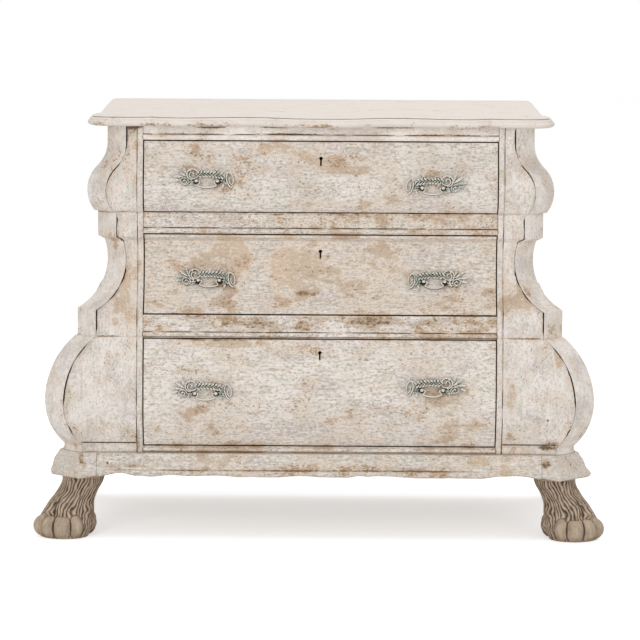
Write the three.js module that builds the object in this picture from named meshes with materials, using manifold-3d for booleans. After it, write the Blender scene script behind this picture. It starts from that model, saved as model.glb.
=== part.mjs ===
// Bombe chest of three drawers on carved paw feet, in painted wood.
// Millimetres, +Z up. The front faces -Y, and the origin is on the floor under the middle of the chest.
import * as THREE from "three";
import { mergeVertices } from "three/addons/utils/BufferGeometryUtils.js";
import Module from "manifold-3d";

const wasm = await Module();
wasm.setup();

// Clearances
const seat = 0.3; // left at a glued joint
const drawerGap = 2; // shown round a drawer front
const running = 0.8; // between a drawer and what carries or guides it
const overrun = 6; // how far a cut passes beyond the wood

// Heights of the case, each from the top of the one before
const footHeight = 125;
const plinthHeight = 45;
const baseRailHeight = 13.5;
const bottomDrawerHeight = 220.5;
const lowerRailHeight = 45.5;
const middleDrawerHeight = 162;
const upperRailHeight = 42;
const topDrawerHeight = 146;
const friezeHeight = 29;
const topThickness = 19;

// Widths and depths of the case
const waistWidth = 856;
const caseDepth = 475; // from the front of the waist to the back of the sides
const railBack = 60; // depth of the rails behind the waist
const stileWidth = 35; // at the waist, from the opening to the pilaster
const stileThickness = 28;
const sideThickness = 24;
const backThickness = 12;
const backInset = 4;
const baseRailBack = 8;

// The canted pilaster on each front corner
const pilasterCant = 39;
const pilasterProud = 9;
const pilasterLip = 8;
const sideInset = 20; // of the sides, from the outer face of the pilasters

// How far the profile stands out from the waist at each of its turns, at the sides and at the front
const sideReach = {
  base: 86,
  belly: 123,
  ledge: 63,
  band: 58.5,
  waist: 0,
  throat: 6,
  collar: 18.5,
  lip: 25,
  shoulder: 38,
  neck: -1.5,
};
const frontReach = {
  base: 29,
  belly: 58,
  ledge: 40,
  band: 37,
  waist: 0,
  throat: 3,
  collar: 18,
  lip: 26,
  shoulder: 47,
  neck: 30,
};

// Where the turns lie: shares of the height of the drawer or hollow that holds them, and small steps
const bellyShare = 0.415;
const waistShare = 0.725;
const shoulderShare = 0.31;
const neckShare = 0.95;
const cornerRise = 9.5;
const collarDrop = 7.5;
const throatDrop = 8.5;
const ledgeRun = 1.5;

// Beads and sunk panels of the rails and stiles
const beadWidth = 8;
const stileBeadWidth = 11;
const beadProud = 3;
const quirkWidth = 2;
const quirkDepth = 2.5;
const panelSink = 2;
const beadMargin = 2;
const lowerStrip = 7;
const friezeStrip = 3;

// The serpentine top, whose front edge runs from its middle to its ear in curves: the points of each are
// shares of the half width and of the serpentine. Its moulding is shares of the lip and of the thickness.
const frontEdgeShares = [
  [[0.1, 0], [0.175, 0.4]],
  [[0.235, 1], [0.328, 1]],
  [[0.42, 1], [0.52, 0.28], [0.623, 0.28]],
  [[0.705, 0.28], [0.741, 0.94]],
  [[0.765, 0.56], [0.905, 0.56]],
];
const topMouldingShares = [
  [0.3, 0],
  [0.65, 0.12],
  [1, 0.28],
  [1, 0.42],
  [0.8, 0.68],
  [0.4, 0.9],
  [0, 1],
];
const topSideOverhang = 25;
const topFrontOverhang = 56;
const topBackOverhang = 10;
const serpentine = 36;
const topLip = 12.5;
const earRound = 40;
const earLength = 185;
const earSweep = 110; // from the ear's full width to the narrower board behind it
const earStep = 12; // how much narrower that is
const rearRound = 14;

// The plinth, whose moulding is shares of its flare and of its height
const plinthMouldingShares = [
  [0.7, 0],
  [0.9, 0.03],
  [1, 0.1],
  [1, 0.2],
  [0.86, 0.28],
  [0.66, 0.34],
  [0.56, 0.46],
  [0.42, 0.62],
  [0.26, 0.76],
  [0.08, 0.91],
  [0, 1],
];
const plinthStep = 16;
const plinthFlare = 20;
const plinthCant = 53;
const plinthThickness = 60;
const seamInset = 31;
const blockDepth = 100;
const sidePlinthInset = 15; // from the outer face of the corner blocks
const blockDrop = 5;

// Drawer boxes
const frontThickness = 24;
const boxThickness = 12;
const drawerBottomThickness = 9;
const drawerBottomRise = 9;
const grooveDepth = 6;
const sideTopDrop = 14;
const stopGap = 1.5;

// Runners
const runnerHeight = 20;
const runnerWidth = 26;
const guideWidth = 18;
const guideHeight = 26;

// Locks
const lockWidth = 56;
const lockHeight = 58;
const lockDepth = 14;
const lockWall = 3;
const boltWidth = 24;
const boltHeight = 34;
const boltThrow = 8;
const keyholeHead = 3.7;
const keyholeSlot = 3.4;
const keyholeHeight = 18;
const keyholeDrop = { bottom: 31.5, middle: 40, top: 39 };

// Cast handles, drawn about their pivot with the outer end to +X: shares of the length, and turns in radians
const handleLength = 126;
const outerPostShare = 0.12;
const innerPostShare = -0.214;
const scrollShares = [
  { x: 0.183, z: 0.111, wide: 0.103, high: 0.099, band: 0.04, turn: 0 },
  { x: 0.31, z: 0, wide: 0.079, high: 0.067, band: 0.035, turn: 0.3 },
  { x: -0.278, z: 0.056, wide: 0.063, high: 0.063, band: 0.035, turn: 0 },
  { x: -0.413, z: 0.024, wide: 0.071, high: 0.135, band: 0.037, turn: -0.25 },
];
const leafShares = [
  { x: 0.302, z: 0.063, length: 0.214, width: 0.063, turn: -0.35 },
  { x: 0.302, z: 0.063, length: 0.206, width: 0.063, turn: 0.1 },
  { x: 0.286, z: 0.079, length: 0.19, width: 0.063, turn: 0.6 },
  { x: 0.27, z: 0.095, length: 0.143, width: 0.056, turn: 1.15 },
  { x: -0.032, z: 0.127, length: 0.103, width: 0.056, turn: 0.75 },
  { x: -0.175, z: 0.111, length: 0.111, width: 0.056, turn: 1.9 },
  { x: -0.317, z: 0, length: 0.119, width: 0.056, turn: -1.3 },
];
const garlandShares = [
  { from: 0.127, to: -0.254, z: 0.095, crown: 0.04, width: 0.056, turn: 0 },
  { from: 0.159, to: 0.27, z: -0.008, crown: 0, width: 0.04, turn: 0 },
  { from: -0.365, to: -0.246, z: 0.008, crown: 0, width: 0.04, turn: 0 },
];
const plateStandoff = 3.2;
const plateThickness = 3.6;
const postRadius = 4.2;
const postLength = 8.5;
const pivotOut = 10.4;
const pinLength = 3;
const pinClearance = 0.5;
const bailRadius = 1.6;
const bailDrop = 13;
const bailElbow = 3;
const handlePlaces = {
  bottom: { left: { inset: 118, up: 1 }, right: { inset: 121, up: 9.5 } },
  middle: { left: { inset: 123, up: -18 }, right: { inset: 118, up: -18 } },
  top: { left: { inset: 120, up: -9 }, right: { inset: 124, up: -19 } },
};

// Feet. The rings of the ankle and paw, from the sole up, are shares of the height of the foot.
const ankleShares = [
  { up: 0, forward: 0.44, long: 0.41, wide: 0.43 },
  { up: 0.12, forward: 0.44, long: 0.46, wide: 0.47 },
  { up: 0.27, forward: 0.41, long: 0.47, wide: 0.47 },
  { up: 0.42, forward: 0.34, long: 0.44, wide: 0.43 },
  { up: 0.58, forward: 0.27, long: 0.38, wide: 0.37 },
  { up: 0.74, forward: 0.14, long: 0.34, wide: 0.34 },
  { up: 0.88, forward: 0.02, long: 0.34, wide: 0.35 },
  { up: 1, forward: 0, long: 0.36, wide: 0.37 },
];
const ankleInset = 40;
const toeWidthShares = [0.92, 1.16, 1, 0.95];
const toeSpread = THREE.MathUtils.degToRad(34);
const toeTurn = THREE.MathUtils.degToRad(26); // of the fan, from the diagonal to the front
const toeReach = 41;
const toeHalf = { long: 24, wide: 17, high: 23 };
const knuckleReach = 27;
const knuckleHeight = 54;
const knuckleHalf = { long: 20, wide: 14.5, high: 18 };
const heelReach = 47;
const heelTurn = THREE.MathUtils.degToRad(150);
const heelHalf = { long: 20, wide: 22, high: 27 };
const rearFootTop = 54;
const rearFootToe = 42;
const rearFootInset = 8; // from the back of the case
const rearFootProud = 20; // of the side plinth's face

// Materials
const paint = { color: 0xd9d2c8, roughness: 0.85, metalness: 0 };
const bareWood = { color: 0xb39a7d, roughness: 0.8, metalness: 0 };
const carvedWood = { color: 0x9a8772, roughness: 0.75, metalness: 0 };
const verdigris = { color: 0x7d8a82, roughness: 0.6, metalness: 0.6 };
const iron = { color: 0x5a5048, roughness: 0.6, metalness: 0.8 };

// Heights worked out from the floor up
const plinthTop = footHeight + plinthHeight;
const bottomLow = plinthTop + baseRailHeight;
const bottomHigh = bottomLow + bottomDrawerHeight;
const middleLow = bottomHigh + lowerRailHeight;
const middleHigh = middleLow + middleDrawerHeight;
const topLow = middleHigh + upperRailHeight;
const topHigh = topLow + topDrawerHeight;
const caseTop = topHigh + friezeHeight;
const openings = {
  bottom: { low: bottomLow, high: bottomHigh },
  middle: { low: middleLow, high: middleHigh },
  top: { low: topLow, high: topHigh },
};
const waistHalf = waistWidth / 2;
const openingHalf = waistHalf - pilasterCant - stileWidth;
const backFace = caseDepth - backInset - backThickness;

// One arc of the profile stands upright at one end: its lean from there at a height away from that end
function leanOfArc(lean, rise, height) {
  if (lean === 0) {
    return 0;
  }
  const radius = (rise * rise + lean * lean) / (2 * Math.abs(lean));
  return Math.sign(lean) * (radius - Math.sqrt(radius * radius - height * height));
}

// The profile as stretches from the plinth up: each ends at a height and a turn, and bends on the way
const cornerHeight = middleLow + cornerRise;
const collarHeight = middleHigh - collarDrop;
const throatHeight = collarHeight - throatDrop;
const shoulderHeight = topLow + shoulderShare * topDrawerHeight;
const neckHeight = topLow + neckShare * topDrawerHeight;
const stretches = [
  { high: bottomLow, turn: "base", bend: "line", steps: 1 },
  { high: bottomLow + bellyShare * bottomDrawerHeight, turn: "belly", bend: "to upright", steps: 6 },
  { high: bottomHigh, turn: "ledge", bend: "from upright", steps: 6 },
  { high: bottomHigh + ledgeRun, turn: "band", bend: "line", steps: 1 },
  { high: cornerHeight, turn: "band", bend: "line", steps: 1 },
  {
    high: cornerHeight + waistShare * (throatHeight - cornerHeight),
    turn: "waist",
    bend: "to upright",
    steps: 6,
  },
  { high: throatHeight, turn: "throat", bend: "from upright", steps: 2 },
  { high: collarHeight, turn: "collar", bend: "line", steps: 1 },
  { high: topLow, turn: "collar", bend: "line", steps: 1 },
  { high: topLow + ledgeRun, turn: "lip", bend: "line", steps: 1 },
  { high: shoulderHeight, turn: "shoulder", bend: "to upright", steps: 4 },
  { high: (shoulderHeight + neckHeight) / 2, turn: "swell", bend: "from upright", steps: 4 },
  { high: neckHeight, turn: "neck", bend: "to upright", steps: 4 },
  { high: caseTop, turn: "neck", bend: "line", steps: 1 },
];

// The hollow above the shoulder turns over half way to the neck
const withSwell = (reach) => ({ ...reach, swell: (reach.shoulder + reach.neck) / 2 });

// Stations: the heights at which every curved piece is cut, with the reach of side and front at each
function layStations() {
  const side = withSwell(sideReach);
  const front = withSwell(frontReach);
  const laid = [{ z: plinthTop, side: side.base, front: front.base }];
  let turn = "base";
  for (const stretch of stretches) {
    const low = laid[laid.length - 1].z;
    const rise = stretch.high - low;
    const upright = stretch.bend === "to upright" ? stretch.turn : turn;
    const leaning = stretch.bend === "to upright" ? turn : stretch.turn;
    const sideLean = side[leaning] - side[upright];
    const frontLean = front[leaning] - front[upright];
    const radius = (rise * rise + sideLean * sideLean) / (2 * Math.abs(sideLean));
    for (let step = 1; step <= stretch.steps; step += 1) {
      const share = step / stretch.steps;
      if (stretch.bend === "line") {
        laid.push({
          z: low + share * rise,
          side: THREE.MathUtils.lerp(side[turn], side[stretch.turn], share),
          front: THREE.MathUtils.lerp(front[turn], front[stretch.turn], share),
        });
      } else {
        const left = stretch.bend === "to upright" ? 1 - share : share;
        const height = radius * Math.sin(left * Math.asin(rise / radius));
        laid.push({
          z: stretch.bend === "to upright" ? stretch.high - height : low + height,
          side: side[upright] + leanOfArc(sideLean, rise, height),
          front: front[upright] + leanOfArc(frontLean, rise, height),
        });
      }
    }
    turn = stretch.turn;
  }
  return laid;
}

const stations = layStations();

// The station at any height, read between its neighbours
function stationAt(z) {
  const above = stations.findIndex((station) => station.z >= z);
  const high = stations[Math.max(above, 1)];
  const low = stations[Math.max(above, 1) - 1];
  const share = (z - low.z) / (high.z - low.z);
  return {
    z,
    side: THREE.MathUtils.lerp(low.side, high.side, share),
    front: THREE.MathUtils.lerp(low.front, high.front, share),
  };
}

// The stations of one piece, with its own two ends
function stationsBetween(low, high) {
  const inner = stations.filter((station) => station.z > low + seat && station.z < high - seat);
  return [stationAt(low), ...inner, stationAt(high)];
}

// A closed solid skinned over rings that run anticlockwise seen from above, from the lowest up
function skin(rings) {
  const count = rings[0].length;
  const positions = rings.flat().flatMap((point) => [point.x, point.y, point.z]);
  const index = [];
  for (let ring = 1; ring < rings.length; ring += 1) {
    for (let i = 0; i < count; i += 1) {
      const near = (ring - 1) * count + i;
      const beside = (ring - 1) * count + ((i + 1) % count);
      index.push(near, beside, beside + count);
      index.push(near, beside + count, near + count);
    }
  }
  const last = (rings.length - 1) * count;
  const flat = (ring) => ring.map((point) => new THREE.Vector2(point.x, point.y));
  for (const [a, b, c] of THREE.ShapeUtils.triangulateShape(flat(rings[0]), [])) {
    index.push(a, c, b);
  }
  for (const [a, b, c] of THREE.ShapeUtils.triangulateShape(flat(rings[rings.length - 1]), [])) {
    index.push(last + a, last + b, last + c);
  }
  const geometry = new THREE.BufferGeometry();
  geometry.setAttribute("position", new THREE.Float32BufferAttribute(positions, 3));
  geometry.setIndex(index);
  return geometry;
}

// Booleans
function toSolid(geometry) {
  const bare = geometry.clone();
  bare.deleteAttribute("normal");
  bare.deleteAttribute("uv");
  const merged = mergeVertices(bare);
  return new wasm.Manifold(
    new wasm.Mesh({
      numProp: 3,
      vertProperties: new Float32Array(merged.attributes.position.array),
      triVerts: new Uint32Array(merged.index.array),
    }),
  );
}

function toGeometry(solid) {
  const mesh = solid.getMesh();
  const geometry = new THREE.BufferGeometry();
  geometry.setAttribute("position", new THREE.BufferAttribute(mesh.vertProperties, 3));
  geometry.setIndex(new THREE.BufferAttribute(mesh.triVerts, 1));
  return geometry;
}

const cut = (geometry, tool) => toGeometry(toSolid(geometry).subtract(toSolid(tool)));
const join = (geometries) => toGeometry(geometries.map(toSolid).reduce((all, one) => all.add(one)));

// A section drawn in Y and Z and run along X, centred
function runAcross(outline, width) {
  const shape = new THREE.Shape(outline.map(([y, z]) => new THREE.Vector2(y, z)));
  const geometry = new THREE.ExtrudeGeometry(shape, { depth: width, bevelEnabled: false });
  const basis = new THREE.Matrix4().makeBasis(
    new THREE.Vector3(0, 1, 0),
    new THREE.Vector3(0, 0, 1),
    new THREE.Vector3(1, 0, 0),
  );
  return geometry.applyMatrix4(basis).translate(-width / 2, 0, 0);
}

// A section drawn in X and Z and run back along Y, from one depth to another
function runBack(outline, near, far) {
  const shape = new THREE.Shape(outline.map(([x, z]) => new THREE.Vector2(x, z)));
  const geometry = new THREE.ExtrudeGeometry(shape, { depth: far - near, bevelEnabled: false });
  return geometry.rotateX(Math.PI / 2).translate(0, far, 0);
}

function box(x, y, z) {
  const geometry = new THREE.BoxGeometry(x[1] - x[0], y[1] - y[0], z[1] - z[0]);
  return geometry.translate((x[0] + x[1]) / 2, (y[0] + y[1]) / 2, (z[0] + z[1]) / 2);
}

// The chest, and the one place where a mesh is named and hung in it
const chest = new THREE.Group();
chest.name = "bombe_chest";
const assembly = new THREE.Group();
chest.add(assembly);

function hang(name, geometry, finish, parent = assembly) {
  const mesh = new THREE.Mesh(geometry, new THREE.MeshStandardMaterial(finish));
  mesh.name = name;
  parent.add(mesh);
  return mesh;
}

// Both of a pair are drawn on the right, and the left one is its mirror image
function hangPair(name, geometry, finish) {
  hang("right_" + name, geometry, finish);
  hang("left_" + name, geometry.clone(), finish).scale.x = -1;
}

// Pilasters: the canted corner posts, swelling with the profile both ways
function pilasterRing({ z, side, front }) {
  const outer = waistHalf + side;
  const face = -front - pilasterProud;
  const back = face + pilasterCant + pilasterLip;
  return [
    new THREE.Vector3(outer - pilasterCant, face, z),
    new THREE.Vector3(outer, face + pilasterCant, z),
    new THREE.Vector3(outer, back, z),
    new THREE.Vector3(outer - pilasterCant, back, z),
  ];
}
const caseFloor = plinthTop + seat;
hangPair("pilaster", skin(stationsBetween(caseFloor, caseTop).map(pilasterRing)), paint);

// Sides: thick planks behind the pilasters, carved to the same profile
function sideRing({ z, side, front }) {
  const outer = waistHalf + side - sideInset;
  const near = -front - pilasterProud + pilasterCant + pilasterLip + seat;
  return [
    new THREE.Vector3(outer - sideThickness, near, z),
    new THREE.Vector3(outer, near, z),
    new THREE.Vector3(outer, caseDepth, z),
    new THREE.Vector3(outer - sideThickness, caseDepth, z),
  ];
}
hangPair("side", skin(stationsBetween(caseFloor, caseTop).map(sideRing)), paint);

// Stiles: the fronts beside the drawers, with a bead along the opening
function stileRing({ z, side, front }) {
  const outer = waistHalf + side - pilasterCant - seat;
  const bead = openingHalf + stileBeadWidth / 2;
  const ring = [];
  const beadSteps = 3;
  for (let step = 0; step <= beadSteps; step += 1) {
    const angle = Math.PI * (1 + step / beadSteps);
    const x = bead + (Math.cos(angle) * stileBeadWidth) / 2;
    ring.push(new THREE.Vector3(x, -front + Math.sin(angle) * beadProud, z));
  }
  const quirk = openingHalf + stileBeadWidth;
  ring.push(new THREE.Vector3(quirk + quirkWidth / 2, -front + quirkDepth, z));
  ring.push(new THREE.Vector3(quirk + quirkWidth, -front, z));
  ring.push(new THREE.Vector3(outer, -front, z));
  ring.push(new THREE.Vector3(outer, -front + stileThickness, z));
  ring.push(new THREE.Vector3(openingHalf, -front + stileThickness, z));
  return ring;
}
hangPair("stile", skin(stationsBetween(caseFloor, caseTop).map(stileRing)), paint);

// The height that the profile's front has at z, standing out by a little more or less
const frontPoint = (z, out) => [-stationAt(z).front - out, z];

// Rails: a bead near the lower edge, a quirk, then a sunk panel up to a strip
function railOutline(low, high, strip) {
  const bead = low + beadMargin + beadWidth / 2;
  const outline = [frontPoint(low, 0)];
  const beadSteps = 5;
  for (let step = 0; step <= beadSteps; step += 1) {
    const angle = Math.PI * (step / beadSteps);
    const z = bead - (Math.cos(angle) * beadWidth) / 2;
    outline.push(frontPoint(z, Math.sin(angle) * beadProud));
  }
  const panelLow = bead + beadWidth / 2 + quirkWidth;
  const panelHigh = high - strip;
  if (panelHigh > panelLow + quirkWidth) {
    outline.push(frontPoint(panelLow - quirkWidth / 2, -quirkDepth));
    outline.push(frontPoint(panelLow, -panelSink));
    for (const station of stationsBetween(panelLow, panelHigh).slice(1, -1)) {
      outline.push(frontPoint(station.z, -panelSink));
    }
    outline.push(frontPoint(panelHigh, -panelSink));
  }
  if (strip > 0) {
    outline.push(frontPoint(panelHigh + quirkWidth / 2, 0));
  }
  outline.push(frontPoint(high, strip > 0 ? 0 : -panelSink));
  return outline;
}

function rail(low, high, strip, back) {
  const outline = railOutline(low, high, strip);
  outline.push([back, high]);
  outline.push([back, low]);
  return runAcross(outline, 2 * (openingHalf - seat));
}

// The bolt of a lock rises into a mortise in the rail above it
function mortised(geometry, drawer) {
  const { bolt, high } = lockPlace(drawer);
  const room = running;
  const tool = box(
    [-boltWidth / 2 - room, boltWidth / 2 + room],
    [bolt[0] - room, bolt[1] + room],
    [high - overrun, high + drawerGap + boltThrow + 2 * room],
  );
  return cut(geometry, tool);
}

// Drawer fronts are flat inside, and nowhere thinner than the front's thickness
function innerFace({ low, high }) {
  const least = Math.min(...stationsBetween(low, high).map((station) => station.front));
  return frontThickness - least;
}

function lockPlace(drawer) {
  const near = innerFace(openings[drawer]) + seat;
  const boltNear = near + lockWall + seat;
  const boltFar = near + lockDepth - lockWall - seat;
  return { near, bolt: [boltNear, boltFar], high: openings[drawer].high - drawerGap };
}

hang("base_rail", rail(caseFloor, bottomLow, 0, baseRailBack), paint);
hang("lower_rail", mortised(rail(bottomHigh, middleLow, lowerStrip, railBack), "bottom"), paint);
hang("upper_rail", mortised(rail(middleHigh, topLow, 0, railBack), "middle"), paint);
hang("frieze_rail", mortised(rail(topHigh, caseTop, friezeStrip, railBack), "top"), paint);

// Bottom board, on the plinth and behind the base rail
const innerSideAt = (z) => waistHalf + stationAt(z).side - sideInset - sideThickness - seat;
const bottomHalf = innerSideAt(caseFloor);
const bottomBack = backFace - seat;
const tongueNear = baseRailBack + seat;
const bottomTongue = box([-openingHalf, openingHalf], [tongueNear, bottomBack], [caseFloor, bottomLow]);
const bottomField = box([-bottomHalf, bottomHalf], [railBack, bottomBack], [caseFloor, bottomLow]);
hang("bottom_board", join([bottomTongue, bottomField]), bareWood);

// Back: one wide panel between the sides, cut to their inside profile and down behind the plinth
function backOutline() {
  const plinthOuter = waistHalf + sideReach.base + plinthStep - sidePlinthInset;
  const plinthInner = plinthOuter - plinthThickness - seat;
  const half = [[plinthInner, footHeight], [plinthInner, caseFloor]];
  for (const station of stationsBetween(caseFloor, caseTop)) {
    half.push([innerSideAt(station.z), station.z]);
  }
  const mirrored = half.map(([x, z]) => [-x, z]).reverse();
  return [...half, ...mirrored];
}
hang("back_panel", runBack(backOutline(), backFace, backFace + backThickness), bareWood);

// Runners: each carries one side of a drawer, and its upstand guides it
function runner(low) {
  const inner = openingHalf - runnerWidth;
  const guide = openingHalf - drawerGap + running;
  const outline = [
    [inner, low - runnerHeight],
    [guide + guideWidth, low - runnerHeight],
    [guide + guideWidth, low + guideHeight],
    [guide, low + guideHeight],
    [guide, low],
    [inner, low],
  ];
  return runBack(outline, railBack + seat, backFace - seat);
}
hangPair("lower_runner", runner(middleLow), bareWood);
hangPair("upper_runner", runner(topLow), bareWood);

// Each vertex of an outline moves out with its two edges, each edge by its own share of the offset
function offsetOutline(points, edgeShares, offset) {
  return points.map((point, i) => {
    const before = points[(i + points.length - 1) % points.length];
    const after = points[(i + 1) % points.length];
    const first = new THREE.Vector2(point.y - before.y, before.x - point.x).normalize();
    const second = new THREE.Vector2(after.y - point.y, point.x - after.x).normalize();
    const firstOut = offset * edgeShares[(i + points.length - 1) % points.length];
    const secondOut = offset * edgeShares[i];
    const turn = first.x * second.y - first.y * second.x;
    const x = (firstOut * second.y - secondOut * first.y) / turn;
    const y = (secondOut * first.x - firstOut * second.x) / turn;
    return new THREE.Vector2(point.x + x, point.y + y);
  });
}

// A slab whose edge follows a moulding: pairs of shares, out from the outline and up from below
function mouldedSlab(outlineAt, moulding, flare, low, height) {
  const rings = moulding.map(([outShare, upShare]) => {
    const ring = outlineAt(outShare * flare);
    return ring.map((point) => new THREE.Vector3(point.x, point.y, low + upShare * height));
  });
  return skin(rings);
}

// Top board: a serpentine front with a middle lobe, hollows and side lobes, ears at its corners, and sides
// that step in behind the ears
function topOutline() {
  const half = waistHalf + sideReach.neck + topSideOverhang;
  const nose = -frontReach.neck - topFrontOverhang;
  const path = new THREE.Path();
  path.moveTo(0, nose);
  for (const curve of frontEdgeShares) {
    const places = curve.flatMap(([across, deep]) => [across * half, nose + deep * serpentine]);
    if (curve.length === 2) {
      path.quadraticCurveTo(...places);
    } else {
      path.bezierCurveTo(...places);
    }
  }
  const earFront = path.currentPoint.y;
  path.quadraticCurveTo(half, earFront, half, earFront + earRound);
  const earEnd = earFront + earRound + earLength;
  path.lineTo(half, earEnd);
  const narrow = half - earStep;
  const flank = earEnd + earSweep;
  path.bezierCurveTo(half, earEnd + earSweep / 2, narrow, flank - earSweep / 2, narrow, flank);
  const back = caseDepth + topBackOverhang;
  path.lineTo(narrow, back - rearRound);
  path.quadraticCurveTo(narrow, back, narrow - rearRound, back);
  const curveSteps = 4;
  const right = path.getPoints(curveSteps);
  const left = right.slice(1).map((point) => new THREE.Vector2(-point.x, point.y)).reverse();
  return [...right, ...left];
}

// Its moulding stands straight out from the front and the sides, turns with the ears, and stops at the back
const topPoints = topOutline();
function topOutlineAt(offset) {
  const coreHalf = waistHalf - earRound;
  const coreFront = -frontReach.neck;
  return topPoints.map((point) => {
    const x = THREE.MathUtils.clamp(point.x, -coreHalf, coreHalf);
    const y = THREE.MathUtils.clamp(point.y, coreFront, caseDepth + topBackOverhang);
    const out = point.clone().sub(new THREE.Vector2(x, y));
    return point.clone().addScaledVector(out.normalize(), offset);
  });
}
const topBoard = mouldedSlab(topOutlineAt, topMouldingShares, topLip, caseTop + seat, topThickness);
hang("top_board", topBoard, paint);

// Plinth: one moulding all round, ending in a bold lip
const plinthFace = -frontReach.base - plinthStep;
const plinthHalf = waistHalf + sideReach.base + plinthStep;
const blockCorner = plinthHalf - plinthCant;
const seamX = blockCorner - seamInset;
const blockBack = plinthFace + blockDepth;
const plinthRise = (upShare) => footHeight + upShare * plinthHeight;

const plinthFront = plinthMouldingShares.map(([outShare, upShare]) => [
  plinthFace - outShare * plinthFlare,
  plinthRise(upShare),
]);
plinthFront.push([plinthFace + plinthThickness, plinthTop]);
plinthFront.push([plinthFace + plinthThickness, footHeight]);
hang("front_plinth", runAcross(plinthFront, 2 * (seamX - seat)), paint);

const sidePlinthFace = plinthHalf - sidePlinthInset;
const plinthSide = plinthMouldingShares.map(([outShare, upShare]) => [
  sidePlinthFace + outShare * plinthFlare,
  plinthRise(upShare),
]);
plinthSide.push([sidePlinthFace - plinthThickness, plinthTop]);
plinthSide.push([sidePlinthFace - plinthThickness, footHeight]);
hangPair("side_plinth", runBack(plinthSide, blockBack + seat, caseDepth), paint);

// Corner blocks: canted like the pilasters that stand on them, and a little deeper than the plinth
const blockOutline = [
  new THREE.Vector2(seamX, plinthFace),
  new THREE.Vector2(blockCorner, plinthFace),
  new THREE.Vector2(plinthHalf, plinthFace + plinthCant),
  new THREE.Vector2(plinthHalf, blockBack),
  new THREE.Vector2(seamX, blockBack),
];
const blockEdgeShares = [1, 1, 1, 0, 0];
const blockFloor = footHeight - blockDrop;
const blockOutlineAt = (offset) => offsetOutline(blockOutline, blockEdgeShares, offset);
const blockHeight = plinthTop - blockFloor;
const cornerBlock = mouldedSlab(
  blockOutlineAt,
  plinthMouldingShares,
  plinthFlare,
  blockFloor,
  blockHeight,
);
hangPair("plinth_block", cornerBlock, paint);

// Front feet: an ankle that swells into a paw along the diagonal, with toes fanned towards the front
const ankleSteps = 12;

function ellipsoid(half, x, y, z) {
  const ball = new THREE.SphereGeometry(1, 9, 6);
  return ball.rotateX(Math.PI / 2).scale(half.long, half.wide, half.high).translate(x, y, z);
}

function pawFoot() {
  const height = blockFloor - seat;
  const rings = ankleShares.map(({ up, forward, long, wide }) => {
    const ring = [];
    for (let step = 0; step < ankleSteps; step += 1) {
      const angle = (2 * Math.PI * step) / ankleSteps;
      const x = height * (forward + long * Math.cos(angle));
      ring.push(new THREE.Vector3(x, height * wide * Math.sin(angle), up * height));
    }
    return ring;
  });
  const pieces = [skin(rings)];
  const palm = height * ankleShares[0].forward;
  const place = (geometry, angle) => geometry.rotateZ(angle).translate(palm, 0, 0);
  toeWidthShares.forEach((share, toe) => {
    const angle = (toe - (toeWidthShares.length - 1) / 2) * toeSpread - toeTurn;
    const half = { ...toeHalf, wide: share * toeHalf.wide };
    pieces.push(place(ellipsoid(half, toeReach, 0, toeHalf.high - seat), angle));
    pieces.push(place(ellipsoid(knuckleHalf, knuckleReach, 0, knuckleHeight), angle));
  });
  pieces.push(place(ellipsoid(heelHalf, heelReach, 0, heelHalf.high - seat), -heelTurn));
  const reach = 2 * height;
  const floor = box([-reach, reach], [-reach, reach], [-overrun, 0]);
  const blockMiddle = new THREE.Vector2(plinthHalf - plinthCant / 2, plinthFace + plinthCant / 2);
  const inset = ankleInset * Math.SQRT1_2;
  const foot = cut(join(pieces), floor);
  return foot.rotateZ(-Math.PI / 4).translate(blockMiddle.x - inset, blockMiddle.y + inset, 0);
}
hangPair("front_foot", pawFoot(), carvedWood);

// Rear feet: plain tapered blocks under the ends of the side plinths
function rearFoot() {
  const middleX = sidePlinthFace + rearFootProud - rearFootTop / 2;
  const middleY = caseDepth - rearFootInset - rearFootTop / 2;
  const ring = (width, z) => {
    const half = width / 2;
    const corners = [[-half, -half], [half, -half], [half, half], [-half, half]];
    return corners.map(([x, y]) => new THREE.Vector3(middleX + x, middleY + y, z));
  };
  const taperShare = 0.72;
  const top = footHeight - seat;
  return skin([ring(rearFootToe, 0), ring(rearFootTop, taperShare * top), ring(rearFootTop, top)]);
}
hangPair("rear_foot", rearFoot(), bareWood);

// Drawers
const frontHalf = openingHalf - drawerGap;
const drawerBack = backFace - stopGap;

function keyhole(z, near, far) {
  const slotHalf = keyholeSlot / 2;
  const head = keyholeHeight / 2 - keyholeHead;
  const shape = new THREE.Shape();
  const mouth = Math.asin(slotHalf / keyholeHead);
  shape.moveTo(-slotHalf, -keyholeHeight / 2);
  shape.lineTo(slotHalf, -keyholeHeight / 2);
  shape.absarc(0, head, keyholeHead, -Math.PI / 2 + mouth, 1.5 * Math.PI - mouth, false);
  shape.closePath();
  const depth = far - near;
  const geometry = new THREE.ExtrudeGeometry(shape, { depth, bevelEnabled: false, curveSegments: 10 });
  return geometry.rotateX(Math.PI / 2).translate(0, far, z);
}

function drawerFront(drawer) {
  const { low, high } = openings[drawer];
  const inner = innerFace(openings[drawer]);
  const grooveLow = low + running + drawerBottomRise - seat;
  const grooveHigh = grooveLow + drawerBottomThickness + 2 * seat;
  const outline = stationsBetween(low + drawerGap, high - drawerGap).map(({ z }) => frontPoint(z, 0));
  outline.push([inner, high - drawerGap]);
  outline.push([inner, grooveHigh], [inner - grooveDepth, grooveHigh]);
  outline.push([inner - grooveDepth, grooveLow], [inner, grooveLow]);
  outline.push([inner, low + drawerGap]);
  const front = runAcross(outline, 2 * frontHalf);
  const keyZ = high - drawerGap - keyholeDrop[drawer];
  const reach = stationAt(keyZ).front + overrun;
  return cut(front, keyhole(keyZ, -reach, inner + overrun));
}

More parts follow.
